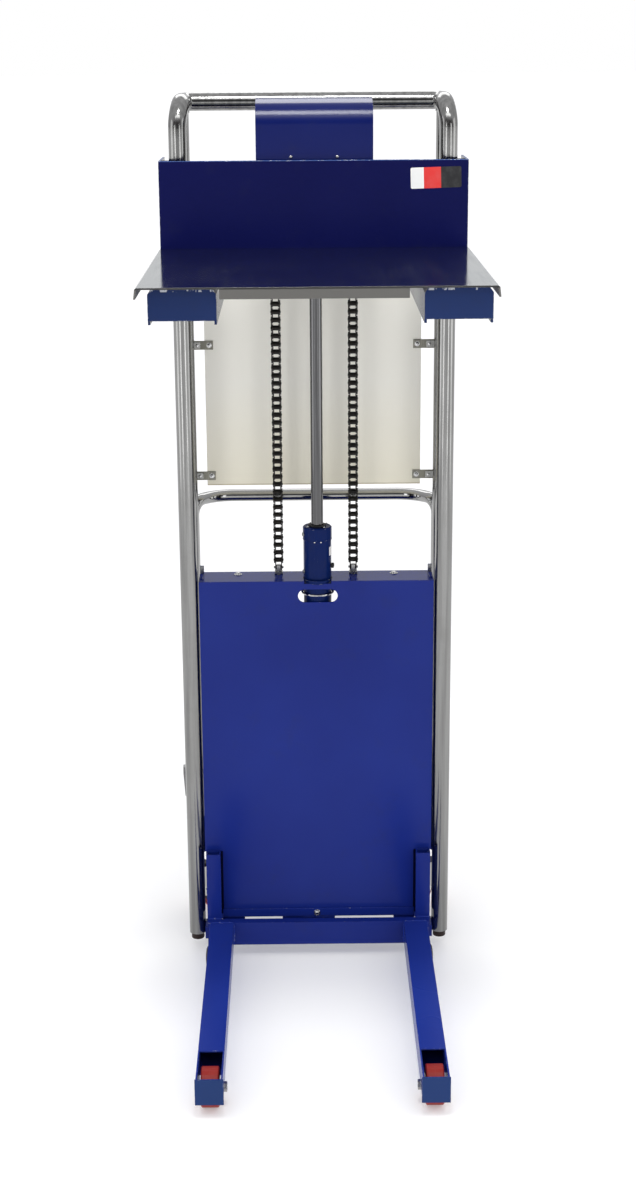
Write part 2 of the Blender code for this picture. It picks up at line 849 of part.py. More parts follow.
beam2 = box("carriage_beam", (-0.2500, -0.0572, 1.5200), (0.2500, -0.0387, 1.5600), NAVY)
cut(beam2, cutter_box("carriage_beam_bore", (-0.26, -0.0542, 1.5230), (0.26, -0.0417, 1.5570)))
for SIDE, WORD in ((-1, "left"), (1, "right")):
    X = SIDE * SHEAVE_X
    join(
        beam2,
        box("chain_lug_" + WORD, (X - 0.0098, -0.0395, 1.5400), (X + 0.0098, -0.0235, 1.5742), helper=True),
    )


def make_fork(name, x):
    """Folded channel, open underneath, with a closing plate at its tip."""
    w = FORK_W / 2
    top = FORK_TOP
    low = top - FORK_H
    t = 0.004
    section = [
        (x - w, low),
        (x - w, top - 0.0085),
        (x - w + 0.0065, top),
        (x + w - 0.0065, top),
        (x + w, top - 0.0085),
        (x + w, low),
        (x + w - t, low),
        (x + w - t, top - 0.0100),
        (x + w - 0.0082, top - t),
        (x - w + 0.0082, top - t),
        (x - w + t, top - 0.0100),
        (x - w + t, low),
    ]
    fork = outline(name, section, -0.6430, -0.0618, "Y", BLUE)
    tip = outline(
        name + "_tip",
        [
            (x - w, low + 0.0065),
            (x - w, top - 0.0085),
            (x - w + 0.0065, top),
            (x + w - 0.0065, top),
            (x + w, top - 0.0085),
            (x + w, low + 0.0065),
        ],
        -0.6460,
        -0.6420,
        "Y",
        helper=True,
    )
    return join(fork, tip)


make_fork("fork_left", FORK_L_X)
make_fork("fork_right", FORK_R_X)

BOTTOM = DECK_TOP - DECK_T
deck = outline(
    "platform_deck",
    [
        (-0.2975, DECK_TOP - 0.0185),
        (-0.2955, DECK_TOP - 0.0025),
        (-0.2925, DECK_TOP),
        (0.2925, DECK_TOP),
        (0.2955, DECK_TOP - 0.0025),
        (0.2975, DECK_TOP - 0.0185),
        (0.2945, DECK_TOP - 0.0185),
        (0.2926, DECK_TOP - 0.0038),
        (0.2913, BOTTOM),
        (-0.2913, BOTTOM),
        (-0.2926, DECK_TOP - 0.0038),
        (-0.2945, DECK_TOP - 0.0185),
    ],
    -0.6540,
    -0.0620,
    "Y",
    STEEL,
)
join(
    deck,
    box("deck_front_flange", (-0.1585, -0.6539, DECK_TOP - 0.0190), (0.1495, -0.6510, BOTTOM + 0.001), helper=True),
)

# ------------------------------------------------------------------- casters


def make_caster(side, word):
    """Swivel fork, wheel and brake, built trailing along +Y under an empty on the swivel axis."""
    axis = bpy.data.objects.new("caster_axis_" + word, None)
    axis.location = (side * CASTER_X, CASTER_Y, 0.0)
    axis.rotation_euler = (0, 0, math.radians(CASTER_TURN[word]))
    PARTS.objects.link(axis)
    axis.parent = ROOT
    made = []
    swivel = rod("caster_swivel_" + word, 0.0285, (0, 0, 0.1035), (0, 0, 0.1117), "Z", STEEL)
    made.append(swivel)
    for tag, low, high in (("inner", -0.0250, -0.0220), ("outer", 0.0220, 0.0250)):
        cheek = outline(
            f"caster_cheek_{tag}_{word}",
            [
                (-0.0220, 0.1060),
                (-0.0220, 0.0950),
                (CASTER_TRAIL - 0.012, 0.0420),
                (CASTER_TRAIL + 0.010, 0.0400),
                (CASTER_TRAIL + 0.058, 0.0850),
                (CASTER_TRAIL + 0.058, 0.0980),
                (CASTER_TRAIL, 0.1060),
            ],
            low,
            high,
            "X",
            helper=True,
        )
        made.append(cheek)
        join(swivel, cheek)
    bridge = box(
        "caster_bridge_" + word,
        (-0.0240, -0.0200, 0.1035),
        (0.0240, CASTER_TRAIL, 0.1065),
        helper=True,
    )
    axle_pin = rod(
        "caster_axle_" + word,
        0.0060,
        (-0.0290, CASTER_TRAIL, WHEEL_R),
        (0.0290, CASTER_TRAIL, WHEEL_R),
        "X",
        sides=16,
        helper=True,
    )
    pivot_y = CASTER_TRAIL + 0.046
    bore = rod(
        "brake_bore_" + word,
        0.0053,
        (-0.0400, pivot_y, 0.0900),
        (0.0400, pivot_y, 0.0900),
        "X",
        sides=16,
        helper=True,
    )
    cut(join(swivel, bridge, axle_pin), bore)
    wheel = turned(
        "caster_wheel_" + word,
        [
            (0.0064, 0.0180),
            (0.0150, 0.0180),
            (0.0170, 0.0160),
            (WHEEL_R - 0.006, 0.0160),
            (WHEEL_R, 0.0100),
            (WHEEL_R, -0.0100),
            (WHEEL_R - 0.006, -0.0160),
            (0.0170, -0.0160),
            (0.0150, -0.0180),
            (0.0064, -0.0180),
        ],
        (0, CASTER_TRAIL, WHEEL_R),
        "X",
        RED,
        steps=32,
        closed=True,
    )
    brake = rod(
        "brake_pedal_" + word,
        0.0050,
        (-0.0258, pivot_y, 0.0900),
        (0.0258, pivot_y, 0.0900),
        "X",
        STEEL,
        sides=16,
    )
    tread = box(
        "brake_tread_" + word,
        (-0.0200, CASTER_TRAIL + 0.045, 0.0890),
        (0.0200, CASTER_TRAIL + 0.074, 0.0930),
        bevel=0.001,
        helper=True,
    )
    join(brake, tread)
    for piece in made + [bridge, axle_pin, bore, wheel, brake, tread]:
        piece.parent = axis


for SIDE, WORD in ((-1, "left"), (1, "right")):
    make_caster(SIDE, WORD)
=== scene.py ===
import math
import random

import bpy
from mathutils import Matrix, Vector


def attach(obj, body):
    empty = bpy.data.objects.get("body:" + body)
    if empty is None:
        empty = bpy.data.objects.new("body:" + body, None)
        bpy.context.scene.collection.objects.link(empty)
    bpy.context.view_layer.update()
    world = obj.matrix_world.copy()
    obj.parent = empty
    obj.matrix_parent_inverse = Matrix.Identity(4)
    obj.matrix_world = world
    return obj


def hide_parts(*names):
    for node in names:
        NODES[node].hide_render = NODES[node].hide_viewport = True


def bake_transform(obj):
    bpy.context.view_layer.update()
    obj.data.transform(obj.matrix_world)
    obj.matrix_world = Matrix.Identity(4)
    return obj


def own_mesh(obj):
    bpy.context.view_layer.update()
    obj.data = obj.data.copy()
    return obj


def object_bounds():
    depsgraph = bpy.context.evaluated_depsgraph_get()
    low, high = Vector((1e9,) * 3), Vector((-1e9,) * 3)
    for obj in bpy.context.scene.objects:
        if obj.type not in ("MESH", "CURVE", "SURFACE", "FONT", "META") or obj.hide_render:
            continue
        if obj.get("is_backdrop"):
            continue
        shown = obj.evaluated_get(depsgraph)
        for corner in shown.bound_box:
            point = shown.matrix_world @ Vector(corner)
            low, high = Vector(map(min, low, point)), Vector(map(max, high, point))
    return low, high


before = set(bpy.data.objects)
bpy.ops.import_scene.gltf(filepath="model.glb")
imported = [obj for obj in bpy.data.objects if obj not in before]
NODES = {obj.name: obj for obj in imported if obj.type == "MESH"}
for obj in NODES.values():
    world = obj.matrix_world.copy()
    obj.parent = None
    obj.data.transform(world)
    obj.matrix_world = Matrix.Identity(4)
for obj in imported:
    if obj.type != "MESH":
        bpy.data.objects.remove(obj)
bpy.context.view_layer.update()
rng = random.Random(41)

# Positions below are in metres and in the CAD model's frame, except that y is
# measured from the plane of the front mast tubes, which stands at MAST_Y there.
MAST_Y = 0.1785
SIDES = ((-1, "left"), (1, "right"))
TRAVEL = 0.676  # stroke of the ram, and of the carriage on it
SHEAVE_X, SHEAVE_Y, SHEAVE_Z, PITCH_R = 0.0765, 0.010, 1.700, 0.040
CHAIN_PITCH = 0.015875
RAM_X, RAM_Y, CYL_R = 0.003, 0.022, 0.0285
ACROSS, FORWARD, UPWARD = (1, 0, 0), (0, -1, 0), (0, 0, 1)


def at(x, y, z):
    return Vector((x, y + MAST_Y, z))


# ---------------------------------------------------------------- materials
class Shader:
    """A Principled material with short ways to add procedural detail."""

    def __init__(self, name, **values):
        self.mat = bpy.data.materials.new(name)
        self.mat.use_nodes = True
        self.tree = self.mat.node_tree
        self.tree.nodes.clear()
        self.out = self.tree.nodes.new("ShaderNodeOutputMaterial")
        self.bsdf = self.tree.nodes.new("ShaderNodeBsdfPrincipled")
        self.tree.links.new(self.bsdf.outputs["BSDF"], self.out.inputs["Surface"])
        self.coords = self.tree.nodes.new("ShaderNodeTexCoord").outputs["Object"]
        self.normal = None
        for key, value in values.items():
            self.bsdf.inputs[key.replace("_", " ")].default_value = value

    def put(self, value, socket):
        if isinstance(value, bpy.types.NodeSocket):
            self.tree.links.new(value, socket)
        elif isinstance(value, tuple) and len(value) == 3 and socket.type == "RGBA":
            socket.default_value = (*value, 1)
        else:
            socket.default_value = value

    def set(self, key, value):
        self.put(value, self.bsdf.inputs[key])

    def noise(self, scale, detail, rough=0.5, stretch=(1, 1, 1)):
        place = self.tree.nodes.new("ShaderNodeMapping")
        place.inputs["Scale"].default_value = stretch
        self.tree.links.new(self.coords, place.inputs["Vector"])
        node = self.tree.nodes.new("ShaderNodeTexNoise")
        node.inputs["Scale"].default_value = scale
        node.inputs["Detail"].default_value = detail
        node.inputs["Roughness"].default_value = rough
        self.tree.links.new(place.outputs[0], node.inputs["Vector"])
        return node.outputs[0]

    def span(self, value, low, high, to_low=0.0, to_high=1.0):
        node = self.tree.nodes.new("ShaderNodeMapRange")
        self.put(value, node.inputs[0])
        for i, number in enumerate((low, high, to_low, to_high)):
            node.inputs[i + 1].default_value = number
        return node.outputs[0]

    def math(self, how, a, b):
        node = self.tree.nodes.new("ShaderNodeMath")
        node.operation = how
        self.put(a, node.inputs[0])
        self.put(b, node.inputs[1])
        return node.outputs[0]

    def times(self, a, b):
        return self.math("MULTIPLY", a, b)

    def plus(self, a, b):
        return self.math("ADD", a, b)

    def mix(self, share, a, b, kind="RGBA"):
        node = self.tree.nodes.new("ShaderNodeMix")
        node.data_type = kind
        self.put(share, node.inputs["Factor"])
        self.put(a, node.inputs["A"])
        self.put(b, node.inputs["B"])
        return node.outputs["Result"]

    def height(self, axis="Z"):
        node = self.tree.nodes.new("ShaderNodeSeparateXYZ")
        self.tree.links.new(self.coords, node.inputs[0])
        return node.outputs[axis]

    def edges(self, radius):
        """1 on sharp edges, fading to 0 at radius from them."""
        soft = self.tree.nodes.new("ShaderNodeBevel")
        soft.samples = 4
        soft.inputs["Radius"].default_value = radius
        face = self.tree.nodes.new("ShaderNodeNewGeometry")
        dot = self.tree.nodes.new("ShaderNodeVectorMath")
        dot.operation = "DOT_PRODUCT"
        self.tree.links.new(soft.outputs[0], dot.inputs[0])
        self.tree.links.new(face.outputs["Normal"], dot.inputs[1])
        return self.span(dot.outputs["Value"], 0.995, 0.86)

    def round(self, radius):
        """Softens the shading of sharp edges over this radius."""
        soft = self.tree.nodes.new("ShaderNodeBevel")
        soft.samples = 4
        soft.inputs["Radius"].default_value = radius
        self.normal = soft.outputs[0]
        self.tree.links.new(self.normal, self.bsdf.inputs["Normal"])

    def bump(self, value, depth, strength):
        node = self.tree.nodes.new("ShaderNodeBump")
        node.inputs["Strength"].default_value = strength
        node.inputs["Distance"].default_value = depth
        self.tree.links.new(value, node.inputs["Height"])
        if self.normal is not None:
            self.tree.links.new(self.normal, node.inputs["Normal"])
        self.normal = node.outputs[0]
        self.tree.links.new(self.normal, self.bsdf.inputs["Normal"])


BARE_STEEL, GRIME = (0.42, 0.44, 0.48), (0.10, 0.095, 0.085)
GUARD_AGED, GUARD_HEM = (1.20, 0.98), (0.9890, 0.9872)
DECK_TOP, DECK_FRONT, DECK_LIP = (1.4858, 1.4850), (-0.4735, -0.4748), (1.4836, 1.4846)


def paint(
    name,
    colour,
    light,
    shine,
    wear=0.55,
    gloss=0.13,
    soft=0.0016,
    chipped=None,
    dusty=None,
    rim=None,
):
    """Wet-sprayed gloss enamel on steel: orange peel, soft edges, chipped corners.

    chipped is the (lowest z, highest z, y) of a chipped front edge, dusty the two y
    between which dust begins, and the last the z above which the upper edge is painted
    lighter: a painted highlight where the top light catches it.
    """
    s = Shader(name, IOR=1.45, Specular_IOR_Level=shine)
    s.round(soft)
    s.bump(s.noise(3.2, 2.0), 0.0030, 0.30)
    s.bump(s.noise(420.0, 2.0), 0.00012, 0.35)
    cloud = s.noise(2.2, 3.0, 0.55)
    fleck = s.noise(900.0, 1.0)
    tone = s.mix(s.span(cloud, 0.35, 0.65), colour, light)
    tone = s.mix(s.span(fleck, 0.30, 0.75, 0.0, 0.12), tone, light)
    grime = s.times(s.span(s.noise(14.0, 6.0, 0.7), 0.56, 0.80), 0.22)
    tone = s.mix(grime, tone, (0.020, 0.022, 0.040))
    chips = s.times(s.edges(0.0022), s.span(s.noise(95.0, 5.0, 0.75), wear, wear + 0.08))
    if chipped:
        low, high, front = chipped
        band = s.times(
            s.span(s.height(), low, low + 0.0008), s.span(s.height("Y"), front + 0.004, front)
        )
        band = s.times(band, s.span(s.noise(75.0, 4.0, 0.75, (1, 1, 0.3)), 0.525, 0.540))
        chips = s.math("MAXIMUM", chips, band)
    scuff = s.times(
        s.span(s.noise(7.0, 4.0, 0.6), 0.70, 0.78),
        s.span(s.noise(650.0, 3.0, 0.8, (0.12, 1, 1)), 0.60, 0.70),
    )
    tone = s.mix(s.times(scuff, 0.30), tone, (0.10, 0.14, 0.36))
    # Painted highlight: above this height the upper edge is painted a lighter blue, as if lit from
    # above.
    if rim:
        tone = s.mix(s.span(s.height(), rim, rim + 0.0008, 0.0, 0.8), tone, (0.060, 0.115, 0.330))
    if dusty:
        behind, before = dusty
        tone = s.mix(s.span(s.height("Y"), behind, before, 0.0, 0.75), tone, (0.020, 0.046, 0.112))
    tone = s.mix(chips, tone, BARE_STEEL)
    s.set("Base Color", tone)
    s.set("Roughness", s.plus(s.span(cloud, 0.3, 0.7, gloss, gloss + 0.07), s.times(chips, 0.25)))
    s.set("Metallic", s.times(chips, 0.7))
    return s.mat


def metal(name, colour, rough, dirty, streak=(1, 1, 0.02), edge=0.001, reflection_band_depth=0.25):
    """Bare or plated metal: drawing marks along it, broad dark bands along it that are painted
    reflection, smudges and dull spots.
    """
    s = Shader(name, Metallic=1.0)
    s.round(edge)
    fine = s.noise(700.0, 3.0, 0.6, streak)
    bands = s.noise(110.0, 3.0, 0.6, streak)
    smudge = s.noise(9.0, 5.0, 0.65)
    spots = s.span(s.noise(160.0, 4.0, 0.7), 0.66, 0.74)
    s.bump(fine, 0.00006, 0.5)
    tone = s.mix(s.span(fine, 0.3, 0.7, 0.0, 0.35), colour, tuple(c * 0.80 for c in colour))
    # Painted reflection: broad dark bands along the metal, standing in for the dark lines polished
    # tubes mirror from the room.
    tone = s.mix(s.span(bands, 0.42, 0.64, 0.0, reflection_band_depth), tone, tuple(c * 0.45 for c in colour))
    tone = s.mix(s.times(s.span(smudge, 0.52, 0.75), dirty), tone, GRIME)
    tone = s.mix(s.times(spots, dirty * 1.4), tone, GRIME)
    tone = s.mix(
        s.span(s.edges(0.0014), 0.0, 1.0, 0.0, 0.35), tone, tuple(min(1.0, c * 1.5) for c in colour)
    )
    s.set("Base Color", tone)
    rough_map = s.plus(
        s.span(smudge, 0.3, 0.75, rough, rough + 0.10), s.span(fine, 0.3, 0.7, -0.05, 0.05)
    )
    s.set("Roughness", s.plus(rough_map, s.times(spots, 0.2)))
    return s.mat


def rubber(name, colour, light, rough):
    """Moulded rubber or polyurethane, with dust and scuffed edges."""
    s = Shader(name, Specular_IOR_Level=0.25)
    s.round(0.0012)
    s.bump(s.noise(520.0, 3.0, 0.6), 0.00018, 0.7)
    dust = s.span(s.noise(26.0, 5.0, 0.7), 0.45, 0.72)
    tone = s.mix(s.times(dust, 0.35), colour, light)
    tone = s.mix(s.times(s.edges(0.0016), 0.35), tone, light)
    s.set("Base Color", tone)
    s.set("Roughness", s.span(dust, 0.0, 1.0, rough, rough + 0.2))
    return s.mat


def guard_plastic(name):
    """Cream sheet: faint mottling, yellowed towards its lower edge, fine scratches."""
    s = Shader(name, Specular_IOR_Level=0.35, IOR=1.49)
    s.round(0.0008)
    s.bump(s.noise(2.6, 1.0), 0.004, 0.35)
    s.bump(s.noise(300.0, 2.0), 0.00004, 0.4)
    aged = s.span(s.height(), *GUARD_AGED)
    tone = s.mix(aged, (0.85, 0.835, 0.765), (0.84, 0.80, 0.655))
    tone = s.mix(s.span(s.noise(6.0, 5.0, 0.6), 0.45, 0.75, 0.0, 0.14), tone, (0.75, 0.73, 0.65))
    lines = s.times(s.span(s.noise(240.0, 2.0, 0.5, (1, 1, 0.03)), 0.66, 0.72), 0.20)
    tone = s.mix(lines, tone, (0.90, 0.89, 0.85))
    tone = s.mix(s.times(s.edges(0.0016), 0.55), tone, (0.40, 0.36, 0.26))
    tone = s.mix(s.span(s.height(), *GUARD_HEM, 0.0, 0.8), tone, (0.42, 0.34, 0.19))
    s.set("Base Color", tone)
    s.set("Roughness", s.span(s.noise(12.0, 3.0), 0.3, 0.7, 0.30, 0.44))
    return s.mat


def deck_steel(name):
    """Bare rolled steel: mill lines along the sheet, rub marks and a faint oil film."""
    s = Shader(name, Metallic=0.988, Anisotropic=0.25)
    s.round(0.0012)
    mill = s.noise(420.0, 4.0, 0.65, (1, 0.03, 1))
    blotch = s.noise(11.0, 6.0, 0.68, (1, 0.55, 1))
    rubs = s.times(
        s.span(s.noise(5.0, 4.0, 0.6), 0.50, 0.72),
        s.span(s.noise(650.0, 2.0, 0.6, (1, 0.02, 1)), 0.60, 0.74),
    )
    lips_painted_shade = s.span(s.height(), *DECK_TOP)
    s.bump(mill, 0.00008, 0.5)
    s.bump(s.noise(4.0, 1.0), 0.0010, 0.10)
    tone = s.mix(s.span(mill, 0.3, 0.7, 0.0, 0.5), (0.55, 0.59, 0.585), (0.44, 0.485, 0.49))
    tone = s.mix(s.span(blotch, 0.48, 0.72, 0.0, 0.30), tone, (0.30, 0.33, 0.36))
    wiped = s.noise(75.0, 4.0, 0.65, (1, 0.05, 1))
    tone = s.mix(s.span(wiped, 0.46, 0.70, 0.0, 0.45), tone, (0.26, 0.29, 0.31))
    tone = s.mix(s.times(rubs, 0.30), tone, (0.66, 0.66, 0.66))
    # Painted shade: the downturned lips and sheet edges below the top are painted a darker grey
    # than the top.
    tone = s.mix(lips_painted_shade, tone, (0.170, 0.167, 0.158))
    # Painted shade: the deck's front edge is painted near black.
    front = s.times(s.span(s.height("Y"), *DECK_FRONT), s.span(s.height(), *DECK_LIP))
    tone = s.mix(front, tone, (0.060, 0.060, 0.060))
    tone = s.mix(s.times(s.edges(0.0012), 0.4), tone, (0.20, 0.20, 0.20))
    s.set("Base Color", tone)
    top_rough = s.plus(
        s.span(blotch, 0.35, 0.7, 0.080, 0.125), s.span(wiped, 0.35, 0.7, -0.02, 0.03)
    )
    s.set("Roughness", s.mix(s.math("MAXIMUM", lips_painted_shade, front), top_rough, 0.36, "FLOAT"))
    return s.mat


def oiled_steel(name):
    """Blued chain steel under old oil, with bright rubbed crowns."""
    s = Shader(name, Metallic=0.85)
    s.round(0.0004)
    film = s.noise(180.0, 4.0, 0.7)
    tone = s.mix(s.span(film, 0.35, 0.7), (0.014, 0.0135, 0.013), (0.034, 0.030, 0.026))
    tone = s.mix(
        s.times(s.edges(0.0006), s.span(s.noise(300.0, 3.0), 0.46, 0.64, 0.0, 0.6)),
        tone,
        (0.11, 0.105, 0.10),
    )
    s.bump(film, 0.00010, 0.5)
    s.set("Base Color", tone)
    s.set("Roughness", s.span(film, 0.3, 0.7, 0.28, 0.50))
    return s.mat


def label(name, colour):
    """Printed vinyl without lettering: slight fading and scuffs."""
    s = Shader(name, Specular_IOR_Level=0.4)
    fade = s.noise(45.0, 4.0, 0.6)
    faded = tuple(min(1.0, c * 0.6 + 0.12) for c in colour)
    s.set("Base Color", s.mix(s.span(fade, 0.5, 0.8, 0.0, 0.25), colour, faded))
    s.set("Roughness", s.span(fade, 0.3, 0.7, 0.35, 0.50))
    s.bump(s.noise(260.0, 2.0), 0.00005, 0.4)
    return s.mat


BLUE = paint("blue_gloss", (0.0072, 0.0180, 0.172), (0.0096, 0.0250, 0.213), wear=0.60, shine=0.17)
BACKREST = paint(
    "backrest_gloss",
    (0.0036, 0.0048, 0.049),
    (0.0048, 0.0062, 0.060),
    wear=0.50,
    shine=0.05,
    # Painted highlight along the backrest's top edge above this height.
    rim=1.6488,
)
# Near-black blue for two strips beside the base posts: painted shade where the posts' inner faces
# fall in shadow.
PAINTED_SHADE_STRIP = paint(
    "seam_sealer",
    (0.0012, 0.0018, 0.014),
    (0.0018, 0.0026, 0.020),
    wear=0.95,
    gloss=0.4,
    shine=0.03,
)
COVER = paint(
    "cover_gloss",
    (0.0030, 0.0072, 0.078),
    (0.0045, 0.0102, 0.096),
    soft=0.0012,
    gloss=0.17,
    shine=0.21,
)
NAVY = paint(
    "cylinder_gloss", (0.0036, 0.0130, 0.084), (0.0050, 0.0170, 0.100), wear=0.56, shine=0.08
)
LEG_BLUE = paint(
    "leg_blue",
    (0.0110, 0.0260, 0.215),
    (0.0150, 0.0360, 0.270),
    wear=0.58,
    gloss=0.22,
    shine=0.10,
    dusty=(-0.5150, -0.5175),
)
FORK_BLUE = paint(
    "fork_blue",
    (0.0085, 0.0200, 0.078),
    (0.0110, 0.0255, 0.096),
    wear=0.50,
    shine=0.12,
    chipped=(1.4795, 1.4850, -0.4665),
)
# The chrome tubes and the rod get the deepest painted reflection bands.
CHROME = metal("chrome_tube", (0.28, 0.28, 0.275), 0.09, dirty=0.20, reflection_band_depth=0.55)
CHROME_BAR = metal(
    "chrome_bar", (0.31, 0.31, 0.305), 0.04, streak=(0.02, 1, 1), dirty=0.12, reflection_band_depth=0.15
)
BRIGHT = metal("bright_chrome", (0.60, 0.60, 0.60), 0.08, dirty=0.12, edge=0.0006)
ROD = metal("ground_rod", (0.135, 0.135, 0.138), 0.05, streak=(1, 1, 0.01), dirty=0.10, reflection_band_depth=0.6)
STEEL = metal("satin_zinc", (0.42, 0.42, 0.41), 0.24, dirty=0.35, edge=0.0006)
DULL = metal("dull_steel", (0.25, 0.25, 0.25), 0.36, dirty=0.45)
CLIP = metal("clip_steel", (0.21, 0.205, 0.175), 0.26, dirty=0.45, edge=0.0005)
BEAM = metal("beam_steel", (0.24, 0.235, 0.225), 0.34, streak=(0.02, 1, 1), dirty=0.45)
PLUG = rubber("foot_rubber", (0.020, 0.010, 0.009), (0.060, 0.045, 0.040), 0.50)
DARK = oiled_steel("oiled_chain")
DECK = deck_steel("rolled_deck")
RED = rubber("red_polyurethane", (0.275, 0.011, 0.007), (0.30, 0.045, 0.032), 0.40)
BLACK = rubber("black_rubber", (0.012, 0.012, 0.013), (0.060, 0.058, 0.055), 0.50)
CREAM = guard_plastic("cream_guard")
WHITE_LABEL = label("label_white", (0.72, 0.72, 0.71))
RED_LABEL = label("label_red", (0.62, 0.025, 0.022))
BLACK_LABEL = label("label_black", (0.010, 0.010, 0.012))

FINISHES = {
    "backrest": BACKREST,
    "fork_": FORK_BLUE,
    "leg_": LEG_BLUE,
    "mast_hoop": CHROME,
    "mast_rear_tube": CHROME,
    "push_handle": CHROME,
    "ram_rod": ROD,
    "cylinder_clamp": BRIGHT,
    "platform_deck": DECK,
    "carriage_beam": BEAM,
    "guard_sheet": CREAM,
    "guard_clip": CLIP,
    "front_roller": RED,
    "caster_wheel": RED,
    "front_axle": STEEL,
    "side_bumper": BLACK,
    "foot_plug": PLUG,
    "caster_swivel": STEEL,
    "brake_pedal": BLACK,
    "chain_anchor": STEEL,
    "chain_sheave": DULL,
    "sheave_axle": STEEL,
    "guide_roller": DULL,
    "pump_plunger": BRIGHT,
    "foot_pedal": DULL,
    "release_lever": BLUE,
    "sheave_cover": COVER,
    "ram_cylinder": NAVY,
}
SLOT_FINISH = {
    "blue_paint": BLUE,
    "navy_paint": NAVY,
    "chrome_plate": CHROME,
    "satin_steel": STEEL,
    "dark_steel": DULL,
    "red_polyurethane": RED,
    "black_plastic": BLACK,
    "cream_guard": CREAM,
}
for name, obj in NODES.items():
    found = [m for key, m in FINISHES.items() if name.startswith(key)]
    slot_name = obj.data.materials[0].name.split(".")[0] if obj.data.materials else ""
    finish = found[0] if found else SLOT_FINISH.get(slot_name, BLUE)
    obj.data.materials.clear()
    obj.data.materials.append(finish)


# ------------------------------------------------------------- mesh building
SHARP_DEGREES = 34
RIPPLE, WOBBLE = 0.0011, 0.00018


def circle(radius, sides, spin=0.0):
    """(x, y) points evenly round a circle."""
    angles = [spin + 2 * math.pi * i / sides for i in range(sides)]
    return [(radius * math.cos(a), radius * math.sin(a)) for a in angles]


def turn_to(direction, origin):
    """A matrix that puts local Z along direction, at origin."""
    turn = Vector(direction).to_track_quat("Z", "Y").to_matrix().to_4x4()
    return Matrix.Translation(origin) @ turn


